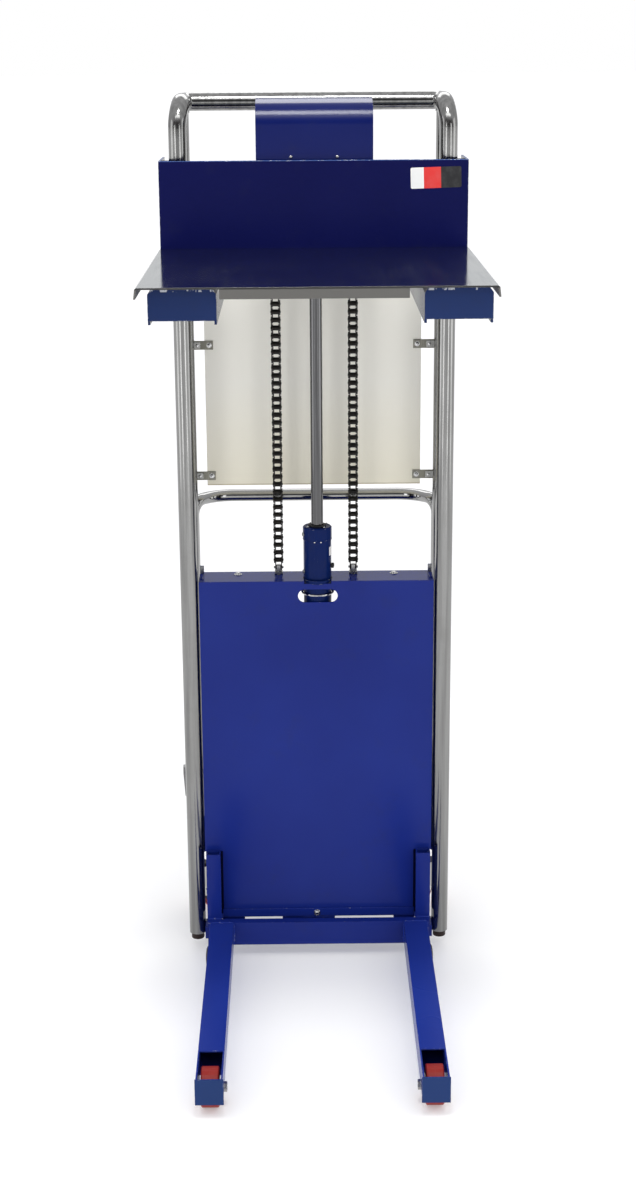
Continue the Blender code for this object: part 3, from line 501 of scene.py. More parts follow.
class Shape:
    """Closed shells that together make one piece."""

    def __init__(self):
        self.points, self.faces = [], []

    def add(self, points, faces, place=None):
        first = len(self.points)
        self.points += [place @ Vector(p) if place else Vector(p) for p in points]
        self.faces += [[first + i for i in face] for face in faces]
        return self

    def rings(self, rings, place=None):
        """Joins rings of equal count into a tube, closed at both ends."""
        count = len(rings[0])
        points = [p for ring in rings for p in ring]
        faces = []
        for k in range(len(rings) - 1):
            for i in range(count):
                j = (i + 1) % count
                faces.append(
                    [k * count + i, k * count + j, (k + 1) * count + j, (k + 1) * count + i]
                )
        faces.append(list(reversed(range(count))))
        faces.append([(len(rings) - 1) * count + i for i in range(count)])
        return self.add(points, faces, place)

    def turned(self, profile, origin, direction=(0, 0, 1), sides=24, spin=0.0):
        """A solid turned from (radius, height) pairs; no radius is 0."""
        rings = []
        for radius, high in profile:
            rings.append([(x, y, high) for x, y in circle(radius, sides, spin)])
        return self.rings(rings, turn_to(direction, origin))

    def ring(self, inner, outer, low, high, origin, direction=(0, 0, 1), sides=28, soft=0.0004):
        """A flat ring with eased edges."""
        section = [
            (inner + soft, low),
            (outer - soft, low),
            (outer, low + soft),
            (outer, high - soft),
            (outer - soft, high),
            (inner + soft, high),
            (inner, high - soft),
            (inner, low + soft),
        ]
        return self.loop(section, origin, direction, sides)

    def pair(self, inner, outer, low, high, middle, apart, sides, soft, across=Vector(ACROSS)):
        """The same flat ring on both faces of a wheel, this far from its middle."""
        for face in (-1, 1):
            place = middle + across * (face * apart)
            self.ring(inner, outer, low, high, place, across * face, sides, soft)
        return self

    def loop(self, section, origin, direction=(0, 0, 1), sides=28):
        """Turns a closed (radius, height) section once round."""
        count = len(section)
        points = [(r * x, r * y, h) for x, y in circle(1.0, sides) for r, h in section]
        faces = []
        for i in range(sides):
            n = (i + 1) % sides
            for k in range(count):
                m = (k + 1) % count
                faces.append([i * count + k, n * count + k, n * count + m, i * count + m])
        return self.add(points, faces, turn_to(direction, origin))

    def prism(self, outline, low, high, place):
        """An outline in local XY, from low to high along local Z."""
        return self.rings(
            [[(x, y, low) for x, y in outline], [(x, y, high) for x, y in outline]], place
        )

    def hexagon(self, across, low, high, origin, direction, spin=0.0):
        """A hex head or nut with chamfered corners."""
        corner = across / math.sqrt(3)
        ease = (high - low) * 0.22
        profile = [
            (corner * 0.90, low), (corner, low + ease), (corner, high - ease), (corner * 0.90, high)
        ]
        return self.turned(profile, origin, direction, 6, spin)

    def slab(self, low, high, ease):
        """A plate with all its edges eased, between two corners."""
        lo, hi = Vector(low), Vector(high)
        e = min(ease, min(hi - lo) * 0.35)

        def loop(inset, z):
            x0, x1, y0, y1 = lo.x + inset, hi.x - inset, lo.y + inset, hi.y - inset
            return [
                (x0 + e, y0, z),
                (x1 - e, y0, z),
                (x1, y0 + e, z),
                (x1, y1 - e, z),
                (x1 - e, y1, z),
                (x0 + e, y1, z),
                (x0, y1 - e, z),
                (x0, y0 + e, z),
            ]

        return self.rings([loop(e, lo.z), loop(0, lo.z + e), loop(0, hi.z - e), loop(e, hi.z)])

    def wire(self, path, radius, sides, radii=None):
        """A round bar along a path, with its own radius at each point if given."""
        path = [Vector(p) for p in path]
        rings = []
        side = None
        for i, p in enumerate(path):
            ahead = (path[min(i + 1, len(path) - 1)] - path[max(i - 1, 0)]).normalized()
            if side is None:
                side = ahead.orthogonal().normalized()
            side = (side - ahead * side.dot(ahead)).normalized()
            other = ahead.cross(side)
            r = radii[i] if radii else radius
            rings.append([p + side * u + other * v for u, v in circle(r, sides)])
        return self.rings(rings)

    def weld(self, start, end, radius):
        """A hand-laid bead: overlapping ripples of slightly uneven size."""
        start, end = Vector(start), Vector(end)
        count = max(4, int((end - start).length / RIPPLE))
        path, radii = [], []
        for i in range(count + 1):
            t = i / count
            wobble = Vector((rng.uniform(-1, 1), rng.uniform(-1, 1), rng.uniform(-1, 1))) * WOBBLE
            path.append(start.lerp(end, t) + wobble)
            ripple = 0.88 + 0.12 * (i % 3 == 1)
            taper = min(1.0, 0.45 + 4.0 * min(t, 1 - t))
            radii.append(radius * ripple * taper * rng.uniform(0.94, 1.05))
        return self.wire(path, radius, 8, radii)

    def build(self, name, body, material, slot=None, replaces=()):
        """The piece as an object on this body: smooth, but for its sharp edges."""
        mesh = bpy.data.meshes.new(name)
        mesh.from_pydata(self.points, [], self.faces)
        mesh.validate()
        obj = bpy.data.objects.new(name, mesh)
        bpy.context.scene.collection.objects.link(obj)
        mesh.materials.append(material)
        mesh.polygons.foreach_set("use_smooth", [True] * len(mesh.polygons))
        mesh.set_sharp_from_angle(angle=math.radians(SHARP_DEGREES))
        if body:
            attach(obj, body)
        if replaces:
            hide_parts(*replaces)
        return obj


# A screw's dome head: (radius, height) in shares of its radius.
DOME = [(1.0, 0.0), (1.0, 0.12), (0.95, 0.30), (0.80, 0.48), (0.56, 0.60), (0.25, 0.66)]


# -------------------------------------------------------------------- chains
PLATE_R, WAIST = 0.0072, 0.0053
INNER_PLATE, OUTER_PLATE = (0.0050, 0.0071), (0.0073, 0.0095)
PIN_END, PIN_EASE = 0.0104, 0.0007
ROLLER = [(0.0045, -0.0050), (0.0050, -0.0044), (0.0050, 0.0044), (0.0045, 0.0050)]
PIN = [
    (0.0017, -PIN_END),
    (0.0024, PIN_EASE - PIN_END),
    (0.0024, PIN_END - PIN_EASE),
    (0.0017, PIN_END),
]
REAR_Y, FRONT_Y = SHEAVE_Y + PITCH_R, SHEAVE_Y - PITCH_R
SPLIT_PIN, LAST_PIN = 43, 55
FRONT_LINKS = 51
FOLD_LOW, FOLD_HIGH = 1.690, 1.700
FOLD = FOLD_HIGH - FOLD_LOW
ANCHOR_Y = 0.047


def plate_outline():
    """A link plate from pin to pin: two round ends with a waist."""
    points = []
    for middle, first, waist in ((0.0, 55, -WAIST), (CHAIN_PITCH, -125, WAIST)):
        for i in range(7):
            a = math.radians(first + 250 * i / 6)
            points.append((middle + PLATE_R * math.cos(a), PLATE_R * math.sin(a)))
        points.append((CHAIN_PITCH / 2, waist))
    return points


PLATE = plate_outline()


def links(x, pins, parity):
    """Roller-chain links between successive pins, given as (y, z), with pins along X."""
    shape = Shape()
    for i, ((y0, z0), (y1, z1)) in enumerate(zip(pins, pins[1:])):
        along = Vector((0, y1 - y0, z1 - z0)).normalized()
        turn = Matrix((along, Vector(ACROSS).cross(along), ACROSS)).transposed()
        place = Matrix.Translation(at(x, y0, z0)) @ turn.to_4x4()
        inner = (i + parity) % 2 == 0
        near, far = INNER_PLATE if inner else OUTER_PLATE
        shape.prism(PLATE, -far, -near, place)
        shape.prism(PLATE, near, far, place)
        profile, sides = (ROLLER, 12) if inner else (PIN, 8)
        for pin in (0.0, CHAIN_PITCH):
            shape.rings([[(pin + u, v, w) for u, v in circle(r, sides)] for r, w in profile], place)
    return shape


def folded(length):
    """The place in the fold, 0 to 1, of a point this length of chain above its foot."""
    low, high = 0.0, 1.0
    for _ in range(34):
        t = (low + high) / 2
        if FOLD * t + TRAVEL * t * t * (3 - 2 * t) < length:
            low = t
        else:
            high = t
    return low


for side, word in SIDES:
    x = side * SHEAVE_X
    arc = [(SHEAVE_Y + u, SHEAVE_Z + v) for u, v in circle(PITCH_R, 16)[:9]]
    links(x, arc, 1).build(
        "chain_wrap_" + word,
        "crosshead",
        DARK,
        "dark_steel",
        replaces=["chain_over_sheave_" + word],
    )

    # The strand to the frame, in two pieces split at a pin; the upper piece has a mesh of its own.
    rear = [(REAR_Y, SHEAVE_Z - k * CHAIN_PITCH) for k in range(LAST_PIN + 1)]
    moving = links(x, rear[: SPLIT_PIN + 1], 0).build(
        "chain_rear_upper_" + word, "base", DARK, "dark_steel", replaces=["chain_to_frame_" + word]
    )
    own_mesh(moving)
    links(x, rear[SPLIT_PIN:], SPLIT_PIN).build(
        "chain_rear_lower_" + word, "base", DARK, "dark_steel"
    )

    # The strand to the carriage is whole: the length that pays out as the
    # carriage goes down is folded into the last 10 mm below the sheave.
    lowest = FOLD_LOW - (FRONT_LINKS * CHAIN_PITCH - (FOLD + TRAVEL))
    front = [(FRONT_Y, lowest + k * CHAIN_PITCH) for k in range(FRONT_LINKS + 1)]
    strand = links(x, front, 1)
    for p in strand.points:
        if p.z > FOLD_LOW:
            p.z = FOLD_LOW + FOLD * folded(p.z - FOLD_LOW)
    piece = strand.build(
        "chain_front_" + word, None, DARK, "dark_steel", replaces=["chain_to_carriage_" + word]
    )
    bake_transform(piece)

    # Clevis block, lock nuts, threads and pin at the frame end of the chain.
    stud = at(x, ANCHOR_Y, 0)
    shape = Shape()
    shape.slab(at(x - 0.0085, 0.0425, 0.8133), at(x + 0.0085, 0.0555, 0.8192), 0.0010)
    shape.slab(at(x - 0.0047, 0.0440, 0.8188), at(x + 0.0047, 0.0560, 0.8325), 0.0010)
    shape.turned(
        [(0.0044, 0.7800), (0.0050, 0.7806), (0.0050, 0.8130), (0.0050, 0.8135)], stud, sides=20
    )
    shape.build(
        "anchor_block_" + word, "base", STEEL, "satin_steel", replaces=["chain_anchor_" + word]
    )
    shape = Shape()
    shape.hexagon(0.0145, 0.7955, 0.8045, stud, UPWARD, 0.3)
    shape.hexagon(0.0145, 0.7855, 0.7945, stud, UPWARD, 0.8)
    shape.build("anchor_nuts_" + word, "base", STEEL, "satin_steel")
    shape = Shape()
    for k in range(9):
        foot = 0.7812 + k * 0.0004
        shape.ring(0.0046, 0.0054, foot, foot + 0.0003, stud, sides=16, soft=0.0001)
    end = at(x, REAR_Y, rear[LAST_PIN][1])
    shape.turned(
        [(0.0018, -0.0100), (0.0026, -0.0094), (0.0026, 0.0094), (0.0018, 0.0100)], end, ACROSS, 12
    )
    shape.build("anchor_pin_" + word, "base", STEEL, "satin_steel")

    shape = Shape()
    shape.pair(0.0112, 0.0190, 0.0, 0.0011, at(x, SHEAVE_Y, SHEAVE_Z), 0.0126, 28, 0.0003)
    shape.build("sheave_shields_" + word, "sheave_" + word, STEEL, "satin_steel")

# --------------------------------------------------------------- bent tubes
MAST_X, TUBE_R, BAR_Z, REAR_TUBE_Y = 0.2585, 0.0175, 1.7535, 0.095
HANDLE_X, HANDLE_Y, HANDLE_R = 0.2535, 0.1253, 0.0125
HANDLE_FOOT, HANDLE_TOP, GRIP_X, GRIP_Y = 0.8000, 0.9490, 0.2080, 0.1800


def hoop_line():
    """Up the mast tube, swept back over the top, and into the cross bar behind."""
    drift, bend, turn, steps = 0.006, 0.0475, 0.020, 22
    half = [at(MAST_X, 0, z) for z in (0.0335, 0.0345, 0.40, 0.80, 1.20, 1.50, 1.68)]
    for k in range(steps + 1):
        t = k / steps
        a = t * math.pi / 2
        x = MAST_X - drift * t * t * (3 - 2 * t)
        half.append(at(x, bend * (1 - math.cos(a)), BAR_Z - bend + bend * math.sin(a)))
    corner_x, corner_y = MAST_X - drift - turn, REAR_TUBE_Y - turn
    for k in range(18):
        a = k / 17 * math.pi / 2
        half.append(at(corner_x + turn * math.cos(a), corner_y + turn * math.sin(a), BAR_Z))
    return half + [Vector((-p.x, p.y, p.z)) for p in reversed(half)]


def eased(points, radii, steps=18):
    """The line through these points, its corners turned on these radii."""
    points = [Vector(p) for p in points]
    line = [points[0]]
    for before, corner, after, radius in zip(points, points[1:], points[2:], radii):
        one, two = (before - corner).normalized(), (after - corner).normalized()
        half = one.angle(two) / 2
        centre = corner + (one + two).normalized() * radius / math.sin(half)
        start = corner + one * radius / math.tan(half) - centre
        end = corner + two * radius / math.tan(half) - centre
        sweep = start.angle(end)
        for k in range(steps + 1):
            t = k / steps
            spoke = start * math.sin((1 - t) * sweep) + end * math.sin(t * sweep)
            line.append(centre + spoke / math.sin(sweep))
    return line + [points[-1]]


hoop = Shape().wire(hoop_line(), TUBE_R, 48)
hoop.build("mast_hoop_tube", "base", CHROME, "chrome_plate", replaces=["mast_hoop"])
leg = [
    (HANDLE_X, HANDLE_Y, HANDLE_FOOT),
    (HANDLE_X, HANDLE_Y, HANDLE_TOP),
    (GRIP_X, GRIP_Y, HANDLE_TOP),
]
grip = eased(
    [at(-x, y, z) for x, y, z in leg] + [at(*p) for p in reversed(leg)],
    (0.030, 0.082, 0.082, 0.030),
)
handle = Shape().wire(grip, HANDLE_R, 36)
handle.build("push_handle_tube", "base", CHROME_BAR, "chrome_plate", replaces=["push_handle"])

# ----------------------------------------------------------- panel and mast
CLIP_LEVELS = (("upper", 1.276), ("lower", 1.0065))
# Screw heads and saddle of a clip: inner x, outer x, the saddle's two x, slot angle.
CLIP_X = {
    "left": (-0.2122, -0.2365, -0.2458, -0.2296, 0.7),
    "right": (0.2083, 0.2335, 0.2268, 0.2428, -0.5),
}
CLIP_Y = 0.1105


def bolt(shape, origin, direction, radius, washer=True, tall=1.0):
    """A dome-headed screw, on a thin washer if it has one."""
    direction = Vector(direction)
    if washer:
        shape.ring(radius * 0.5, radius * 1.45, 0.0, 0.0010, origin, direction, 24, 0.0003)
    profile = [(r * radius, h * radius * tall) for r, h in DOME]
    shape.turned(profile, origin + direction * 0.0009, direction, 20)


def slotted_head(shape, place, radius, turn):
    """A pan head in two halves, with a real slot between them."""
    for half in (0, 1):
        angles = [math.radians(10 + 160 * k / 8) + half * math.pi + turn for k in range(9)]
        rings = []
        for share, high in ((1.0, 0.0006), (1.0, 0.0016), (0.86, 0.0026), (0.55, 0.0030)):
            r = radius * share
            rings.append([(r * math.cos(a), r * math.sin(a), high) for a in angles])
        shape.rings(rings, place)


shape = Shape()
for x in (-0.160, 0.160):
    bolt(shape, at(x, 0.046, 0.8131), UPWARD, 0.0058)
bolt(shape, at(-0.003, -0.0137, 0.0800), FORWARD, 0.0048)
shape.build("panel_screws", "base", BRIGHT, "chrome_plate")

shape = Shape()
shape.slab(at(-0.2034, -0.0136, 0.0715), at(0.2034, -0.0102, 0.0905), 0.0009)
shape.slab(at(-0.0330, -0.0128, 0.0672), at(0.0340, -0.0104, 0.0735), 0.0006)
shape.build("panel_hem", "base", BLUE, "blue_paint")
# Two thin near-black strips beside the base posts: painted shade for the posts' inner faces in
# shadow.
shape = Shape()
shape.slab(at(-0.2062, -0.0125, 0.0795), at(-0.2012, -0.0102, 0.2230), 0.0006)
shape.slab(at(0.2012, -0.0125, 0.0795), at(0.2062, -0.0102, 0.2230), 0.0006)
shape.build("painted_shade_strips", "base", PAINTED_SHADE_STRIP, "navy_paint")
shape = Shape()
shape.slab(at(-0.2386, 0.0481, 0.8135), at(-0.2304, 0.0493, 0.8305), 0.0004)
shape.slab(at(0.2304, 0.0481, 0.8135), at(0.2386, 0.0493, 0.8305), 0.0004)
shape.build("corner_brackets", "base", STEEL, "satin_steel")

# Each bead: (x, y, z) of its two ends on the right side, and its radius.
BASE_BEADS = (
    ((0.2062, -0.0366, 0.0788), (0.2348, -0.0366, 0.0788), 0.0022),
    ((0.2062, -0.0108, 0.0788), (0.2348, -0.0108, 0.0788), 0.0022),
    ((0.2052, -0.0360, 0.0790), (0.2052, -0.0120, 0.0790), 0.0022),
    ((0.1808, -0.0560, 0.0784), (0.2282, -0.0560, 0.0784), 0.0026),
    ((0.1795, -0.0560, 0.0300), (0.1795, -0.0560, 0.0770), 0.0024),
    ((0.2295, -0.0560, 0.0300), (0.2295, -0.0560, 0.0770), 0.0020),
    ((0.1815, -0.5925, 0.0778), (0.2275, -0.5925, 0.0778), 0.0018),
    ((0.2360, -0.0100, 0.0602), (0.2360, 0.0030, 0.0602), 0.0020),
)
shape = Shape()
for side, _ in SIDES:
    for (x0, y0, z0), (x1, y1, z1), radius in BASE_BEADS:
        shape.weld(at(side * x0, y0, z0), at(side * x1, y1, z1), radius)
shape.build("base_welds", "base", LEG_BLUE, "blue_paint")

shape = Shape()
for side, _ in SIDES:
    # Where the handle meets the rear tubes, the tube's collar, the tray's cheek.
    for z in (0.806, 0.936):
        shape.weld(
            at(side * HANDLE_X, 0.1130, z - 0.006), at(side * HANDLE_X, 0.1130, z + 0.006), 0.0026
        )
    shape.ring(
        0.0150, 0.0192, 1.7318, 1.7362, at(side * MAST_X, REAR_TUBE_Y, 0), sides=40, soft=0.0012
    )
    shape.weld(at(side * 0.2410, 0.0640, 0.1290), at(side * 0.2410, 0.1600, 0.1290), 0.0018)
shape.build("mast_welds", "base", STEEL, "satin_steel")

for tier, z in CLIP_LEVELS:
    for side, word in SIDES:
        inner, outer, x0, x1, slot_turn = CLIP_X[word]
        shape = Shape()
        for x, r in ((inner, 0.0042), (outer, 0.0036)):
            front = at(x, CLIP_Y, z)
            shape.ring(0.0012, r * 1.25, 0.0, 0.0007, front, FORWARD, 20, 0.0002)
            slotted_head(shape, turn_to(FORWARD, front), r, slot_turn)
        shape.build(f"clip_screws_{tier}_{word}", "base", BRIGHT, "chrome_plate")
        # The clip's raised saddle over the tube side.
        shape = Shape()
        shape.slab(at(x0, 0.1080, z - 0.0062), at(x1, 0.1107, z + 0.0062), 0.0008)
        shape.build(f"clip_saddle_{tier}_{word}", "base", STEEL, "satin_steel")

# ------------------------------------------------------------ lift cylinder
RAM = at(RAM_X, RAM_Y, 0)


def round_ram(angle, radius, z):
    """A point this far round and out from the ram's axis, and the way out."""
    out = Vector((math.cos(angle), math.sin(angle), 0))
    return RAM + Vector((0, 0, z)) + out * radius, out


shape = Shape()
shape.ring(0.0123, 0.0182, 0.9212, 0.9242, RAM, sides=36, soft=0.0006)
shape.build("rod_wiper", "base", BLACK, "black_plastic")
shape = Shape()
for k in range(4):
    bolt(shape, round_ram(math.radians(35 + 90 * k), 0.0235, 0.9212)[0], UPWARD, 0.0024, False)
for angle in (-101, -76):
    bolt(shape, *round_ram(math.radians(angle), 0.0283, 0.893), 0.0016, False)
shape.build("gland_screws", "base", BRIGHT, "chrome_plate")
shape = Shape()
shape.ring(0.0284, 0.0297, 0.8935, 0.8960, RAM, sides=48, soft=0.0004)
shape.ring(0.0285, 0.0305, 0.8062, 0.8136, at(RAM_X, RAM_Y - 0.0046, 0), sides=48, soft=0.0005)
shape.build("cylinder_bands", "base", NAVY, "navy_paint")
knob = [
    (0.0034, 0.0),
    (0.0034, 0.0012),
    (0.0052, 0.0016),
    (0.0056, 0.0026),
    (0.0056, 0.0052),
    (0.0046, 0.0062),
]
shape = Shape().turned(knob, *round_ram(math.atan2(-0.28, 0.96), 0.0282, 0.840), 14)
shape.build("bleed_knob", "base", BLACK, "black_plastic")
shape = Shape()
for z, radius, tall in ((0.828, 0.0284, 0.0034), (0.906, 0.0292, 0.0030)):
    shape.hexagon(0.0075, 0.0, tall, *round_ram(math.atan2(-0.36, -0.93), radius, z))
shape.build("cylinder_plugs", "base", STEEL, "satin_steel")

# A thin blank label that follows the cylinder's wall.
LABEL_LOW, LABEL_HIGH, LABEL_IN, LABEL_OUT = 0.862, 0.880, CYL_R + 0.0001, CYL_R + 0.0004
rings = []
for i in range(9):
    a = math.radians(-34 + 28 * i / 8)
    corners = (
        (LABEL_IN, LABEL_LOW),
        (LABEL_OUT, LABEL_LOW),
        (LABEL_OUT, LABEL_HIGH),
        (LABEL_IN, LABEL_HIGH),
    )
    rings.append([round_ram(a, r, z)[0] for r, z in corners])
Shape().rings(rings).build("cylinder_label", "base", WHITE_LABEL, "cream_guard")

# ------------------------------------------------- crosshead, cover, backrest
COVER_LINE = [
    (0, -0.0462, 1.6280),
    (0, -0.0462, 1.7255),
    (0, -0.0310, 1.7515),
    (0, 0.0100, 1.7608),
    (0, 0.0620, 1.7620),
]
COVER_BENDS = (0.040, 0.034, 0.100)
COVER_THICK, COVER_X = 0.0025, (-0.1090, 0.1130)
bent = eased(COVER_LINE, COVER_BENDS, 10)
under = []
for i, p in enumerate(bent):
    ahead = (bent[min(i + 1, len(bent) - 1)] - bent[max(i - 1, 0)]).normalized()
    under.append((p.y + COVER_THICK * ahead.z, p.z - COVER_THICK * ahead.y))
outline = [(p.y, p.z) for p in bent] + under[::-1]
shape = Shape().rings([[at(x, y, z) for y, z in outline] for x in COVER_X])
shape.build("bent_cover", "crosshead", COVER, "navy_paint", replaces=["sheave_cover"])
shape = Shape()
for x in (-0.0425, 0.0450):
    bolt(shape, at(x, -0.0463, 1.6560), FORWARD, 0.0030, False, 1.2)
shape.build("cover_bolts", "crosshead", BRIGHT, "chrome_plate")
shape = Shape()
for side, _ in SIDES:
    shape.ring(
        0.0085, 0.0128, -0.0006, 0.0006, at(side * 0.0915, SHEAVE_Y, SHEAVE_Z), ACROSS, 24, 0.0002
    )
    tails = [at(side * 0.0905, SHEAVE_Y + y, SHEAVE_Z + 0.001) for y in (-0.0145, 0.0135)]
    shape.wire(tails, 0.0013, 8)
shape.build("axle_clips", "crosshead", STEEL, "satin_steel")

# Three blank blocks of one sticker, stuck on slightly askew.
STICKER_LOW, STICKER_HIGH, STICKER_CUT = 1.5975, 1.6365, 0.002
STICKER_X, STICKER_Z, STICKER_TILT = 0.231, 1.617, math.radians(1.6)
STICKER_FACES = (-0.0615, -0.0618)
for name, material, x0, x1, slot_name in (
    ("sticker_white", WHITE_LABEL, 0.1832, 0.2080, "cream_guard"),
    ("sticker_red", RED_LABEL, 0.2080, 0.2405, "red_polyurethane"),
    ("sticker_black", BLACK_LABEL, 0.2405, 0.2790, "black_plastic"),
):
    low, high, cut = STICKER_LOW, STICKER_HIGH, STICKER_CUT
    outline = [(x0, low), (x1, low), (x1, high), (x0, high)]
    if material is WHITE_LABEL:
        outline = [
            (x0 + cut, low),
            (x1, low),
            (x1, high),
            (x0 + cut, high),
            (x0, high - cut),
            (x0, low + cut),
        ]
    if material is BLACK_LABEL:
        outline = [
            (x0, low),
            (x1 - cut, low),
            (x1, low + cut),
            (x1, high - cut),
            (x1 - cut, high),
            (x0, high),
        ]
    points = []
    for x, z in outline:
        turned = Matrix.Rotation(STICKER_TILT, 2) @ Vector((x - STICKER_X, z - STICKER_Z))
        points.append((STICKER_X + turned.x, STICKER_Z + turned.y))
    shape = Shape().rings([[at(x, y, z) for x, z in points] for y in STICKER_FACES])
    shape.build(name, "carriage", material, slot_name)

shape = Shape()
for side, _ in SIDES:
    shape.weld(at(side * 0.2890, -0.0572, 1.5020), at(side * 0.2890, -0.0572, 1.6480), 0.0018)
shape.build("carriage_welds", "carriage", NAVY, "blue_paint")

GUIDE_Y = 0.0475
for side, word in SIDES:
    for tier, z in (("upper", 1.633), ("lower", 1.560)):
        shape = Shape()
        shape.pair(0.0086, 0.0150, 0.0, 0.0009, at(side * MAST_X, GUIDE_Y, z), 0.0126, 28, 0.0003)
        shape.build(f"guide_shields_{tier}_{word}", f"guide_{tier}_{word}", STEEL, "satin_steel")
        shape = Shape()
        clip = at(side * (MAST_X - 0.0142), GUIDE_Y, z)
        shape.ring(0.0079, 0.0112, 0.0, 0.0010, clip, (-side, 0, 0), 24, 0.0003)
        shape.build(f"guide_clip_{tier}_{word}", "carriage", STEEL, "satin_steel")

# ------------------------------------------------------------- front rollers
for side, word in SIDES:
    hub = at(side * 0.2045, -0.648, 0.037)
    shape = Shape()
    shape.pair(0.0064, 0.0115, 0.0, 0.0030, hub, 0.0167, 24, 0.0005)
    shape.build("roller_spacers_" + word, "base", STEEL, "satin_steel")
    shape = Shape()
    shape.pair(0.0066, 0.0210, -0.0004, 0.0008, hub, 0.0164, 32, 0.0003)
    shape.build("roller_hubs_" + word, "roller_" + word, STEEL, "satin_steel")
    shape = Shape()
    shape.ring(0.0362, 0.0370, -0.0006, 0.0006, hub, ACROSS, 48, 0.0002)
    shape.build("roller_seam_" + word, "roller_" + word, RED, "red_polyurethane")
    shape = Shape()
    shape.pair(0.0061, 0.0092, 0.0, 0.0009, hub, 0.0246, 24, 0.0003)
    shape.build("axle_washers_" + word, "base", BRIGHT, "chrome_plate")

# ------------------------------------------------------------------- casters
CASTER_X, CASTER_Y, TRAIL, WHEEL_Z = 0.205, 0.155, 0.032, 0.050
CASTER_TURN = {"left": 40.0, "right": -32.0}
for side, word in SIDES:
    turn = Matrix.Rotation(math.radians(CASTER_TURN[word]), 3, "Z")
    hub = at(side * CASTER_X, CASTER_Y, 0) + turn @ Vector((0, TRAIL, WHEEL_Z))
    across = turn @ Vector(ACROSS)
    shape = Shape()
    for face in (-1, 1):
        shape.hexagon(0.0165, 0.0, 0.0065, hub + across * face * 0.0252, across * face, 0.4)
    shape.pair(0.0062, 0.0112, 0.0, 0.0012, hub, 0.0250, 24, 0.0003, across)
    shape.build("caster_bolts_" + word, "caster_" + word, BRIGHT, "chrome_plate")
    shape = Shape()
    shape.pair(0.0085, 0.0300, -0.0006, 0.0007, hub, 0.0179, 40, 0.0004, across)
    shape.pair(0.0350, 0.0370, -0.0006, 0.0008, hub, 0.0179, 40, 0.0004, across)
    shape.build("caster_rims_" + word, "caster_roll_" + word, BLACK, "black_plastic")
    shape = Shape()
    shape.ring(0.0492, 0.0500, -0.0005, 0.0005, hub, across, 56, 0.0002)
    shape.build("caster_seam_" + word, "caster_roll_" + word, RED, "red_polyurethane")

# ----------------------------------------------------------- pump and pedal
PLUNGER_X, PLUNGER_Y = 0.003, 0.100
SPRING_R, SPRING_LOW, SPRING_TALL, SPRING_TURNS = 0.0135, 0.2385, 0.026, 5
coil, steps = [], 16 * SPRING_TURNS
for i in range(steps + 1):
    a = 2 * math.pi * i / 16
    x, y = PLUNGER_X + SPRING_R * math.cos(a), PLUNGER_Y + SPRING_R * math.sin(a)
    coil.append(at(x, y, SPRING_LOW + SPRING_TALL * i / steps))
spring = Shape().wire(coil, 0.0014, 8).build("pump_spring", "base", STEEL, "satin_steel")
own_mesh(spring)

# Ribs across the sloping top of the pedal's pad.
PAD_FRONT_Y, PAD_FRONT_Z, PAD_SLOPE = 0.2560, 0.3160, 0.5
PAD_X, RIB_STEP = (-0.2930, -0.2090), 0.0105
RIB = [
    (-0.0025, -0.0008),
    (0.0025, -0.0008),
    (0.0022, 0.0012),
    (0.0012, 0.0018),
    (-0.0012, 0.0018),
    (-0.0022, 0.0012),
]
shape = Shape()
for k in range(7):
    behind = 0.0050 + k * RIB_STEP
    middle = at(0, PAD_FRONT_Y + behind, PAD_FRONT_Z - behind * PAD_SLOPE)
    tread = Matrix.Translation(middle) @ Matrix.Rotation(-math.atan(PAD_SLOPE), 4, "X")
    shape.rings([[tread @ Vector((x, u, w)) for u, w in RIB] for x in PAD_X])
shape.build("pedal_ribs", "pedal", BLACK, "black_plastic")

# ------------------------------------------------------------- floor and light
FLOOR_HALF = 90.0
floor = Shape()
corners = ((-1, -1), (1, -1), (1, 1), (-1, 1))
floor.add([(x * FLOOR_HALF, y * FLOOR_HALF, 0.0) for x, y in corners], [[0, 1, 2, 3]])
pale = Shader("floor_white", Specular_IOR_Level=0.15)
pale.set(
    "Base Color",
    pale.mix(pale.span(pale.noise(1.2, 3.0), 0.3, 0.7), (0.77, 0.77, 0.77), (0.79, 0.79, 0.79)),
)
pale.set("Roughness", 0.75)
pale.set("Emission Color", (1.0, 1.0, 1.0))
# A little light of its own, more of it far out, so that it meets the white room.
out_x, out_y = pale.height("X"), pale.height("Y")
away = pale.plus(pale.times(out_x, out_x), pale.times(out_y, out_y))
pale.set("Emission Strength", pale.span(away, 2.0, 30.0, 0.25, 0.44))
ground = floor.build("floor", None, pale.mat)
ground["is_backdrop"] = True


def softbox(name, place, aim, width, tall, radiance, mirrored=True):
    """A large diffuse panel light with the given brightness."""
    data = bpy.data.lights.new(name, "AREA")
    data.shape = "RECTANGLE"
    data.size, data.size_y = width, tall
    data.energy = radiance * math.pi * width * tall
    obj = bpy.data.objects.new(name, data)
    obj.location = place
    obj.rotation_euler = (Vector(aim) - Vector(place)).to_track_quat("-Z", "Y").to_euler()
    obj.visible_camera = False
    obj.visible_glossy = mirrored
    bpy.context.scene.collection.objects.link(obj)


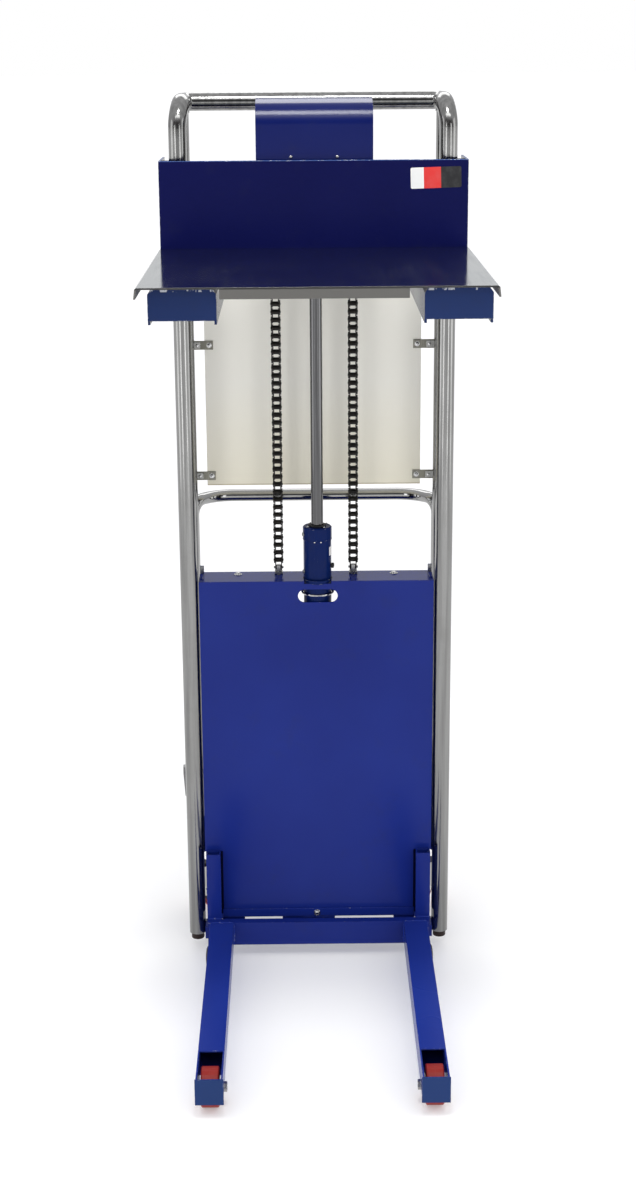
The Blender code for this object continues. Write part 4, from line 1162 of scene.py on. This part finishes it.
softbox("top_front", (0.0, -1.02, 3.6), (0.0, 0.1, 1.2), 0.50, 0.34, 46.0)
softbox("top_strip", (0.0, -2.0, 3.7), (0.0, 0.1, 1.0), 3.0, 0.5, 3.4)
softbox("top_back", (0.0, 2.4, 3.2), (0.0, 0.2, 1.0), 2.4, 1.2, 2.4)
softbox("left_wall", (-2.9, -0.6, 1.5), (0.0, 0.1, 0.9), 1.2, 2.4, 1.3)
softbox("right_wall", (2.9, -0.6, 1.5), (0.0, 0.1, 0.9), 1.2, 2.4, 1.3)
softbox("front_fill", (0.6, -4.6, 1.2), (0.0, 0.1, 0.8), 2.4, 1.6, 1.7, False)
for side, word in SIDES:
    softbox("front_" + word, (side * 2.35, -3.9, 1.35), (0.0, 0.0, 1.1), 0.9, 2.6, 2.6)

scene = bpy.context.scene
scene.view_settings.view_transform = "Standard"
scene.view_settings.look = "None"
scene.view_settings.exposure = 0.0


def studio_world():
    """A pale room, brighter overhead, dimmer at its far front, white to the camera."""
    world = bpy.data.worlds.new("studio")
    world.use_nodes = True
    tree = world.node_tree
    tree.nodes.clear()

    def node(kind, *inputs, **settings):
        made = tree.nodes.new(kind)
        for key, value in settings.items():
            setattr(made, key, value)
        for socket, value in zip(made.inputs, inputs):
            if isinstance(value, bpy.types.NodeSocket):
                tree.links.new(value, socket)
            elif value is not None:
                socket.default_value = value
        return made

    way = node("ShaderNodeSeparateXYZ", node("ShaderNodeTexCoord").outputs["Generated"])
    ramp = node("ShaderNodeValToRGB", node("ShaderNodeMapRange", way.outputs["Z"], -1.0).outputs[0])
    low, high = ramp.color_ramp.elements
    low.position, low.color = 0.30, (0.55, 0.55, 0.56, 1)
    high.position, high.color = 0.95, (0.98, 0.98, 1.0, 1)
    ahead_dark = node("ShaderNodeMapRange", way.outputs["Y"], -0.45, -0.75)
    low_dark = node("ShaderNodeMapRange", way.outputs["Z"], 0.55, 0.35)
    dark = node("ShaderNodeMath", ahead_dark.outputs[0], low_dark.outputs[0], operation="MULTIPLY")
    dark = node("ShaderNodeMath", dark.outputs[0], -0.80, operation="MULTIPLY")
    dark = node("ShaderNodeMath", dark.outputs[0], 0.95, operation="ADD")
    room = node("ShaderNodeBackground", ramp.outputs[0], dark.outputs[0])
    white = node("ShaderNodeBackground", (1, 1, 1, 1), 1.0)
    seen = node("ShaderNodeLightPath").outputs["Is Camera Ray"]
    both = node("ShaderNodeMixShader", seen, room.outputs[0], white.outputs[0])
    node("ShaderNodeOutputWorld", both.outputs[0])
    return world


scene.world = studio_world()

# -------------------------------------------------------------------- camera
EYE, LENS_MM, SENSOR_MM = Vector((-0.030, -3.6175, 1.881)), 58.19, 36.0
PITCH, YAW, ROLL = (math.radians(a) for a in (16.309, 0.504, -0.388))
ahead = Vector((math.sin(YAW) * math.cos(PITCH), math.cos(YAW) * math.cos(PITCH), -math.sin(PITCH)))
level = Vector((math.cos(YAW), -math.sin(YAW), 0))
above = level.cross(ahead)
right = level * math.cos(ROLL) + above * math.sin(ROLL)
up = above * math.cos(ROLL) - level * math.sin(ROLL)
data = bpy.data.cameras.new("camera")
data.lens, data.sensor_width, data.sensor_fit = LENS_MM, SENSOR_MM, "AUTO"
data.clip_end = 200.0
camera = bpy.data.objects.new("camera", data)
scene.collection.objects.link(camera)
turn = Matrix((right, up, -ahead)).transposed().to_4x4()
camera.matrix_world = Matrix.Translation(EYE) @ turn
scene.camera = camera

low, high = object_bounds()
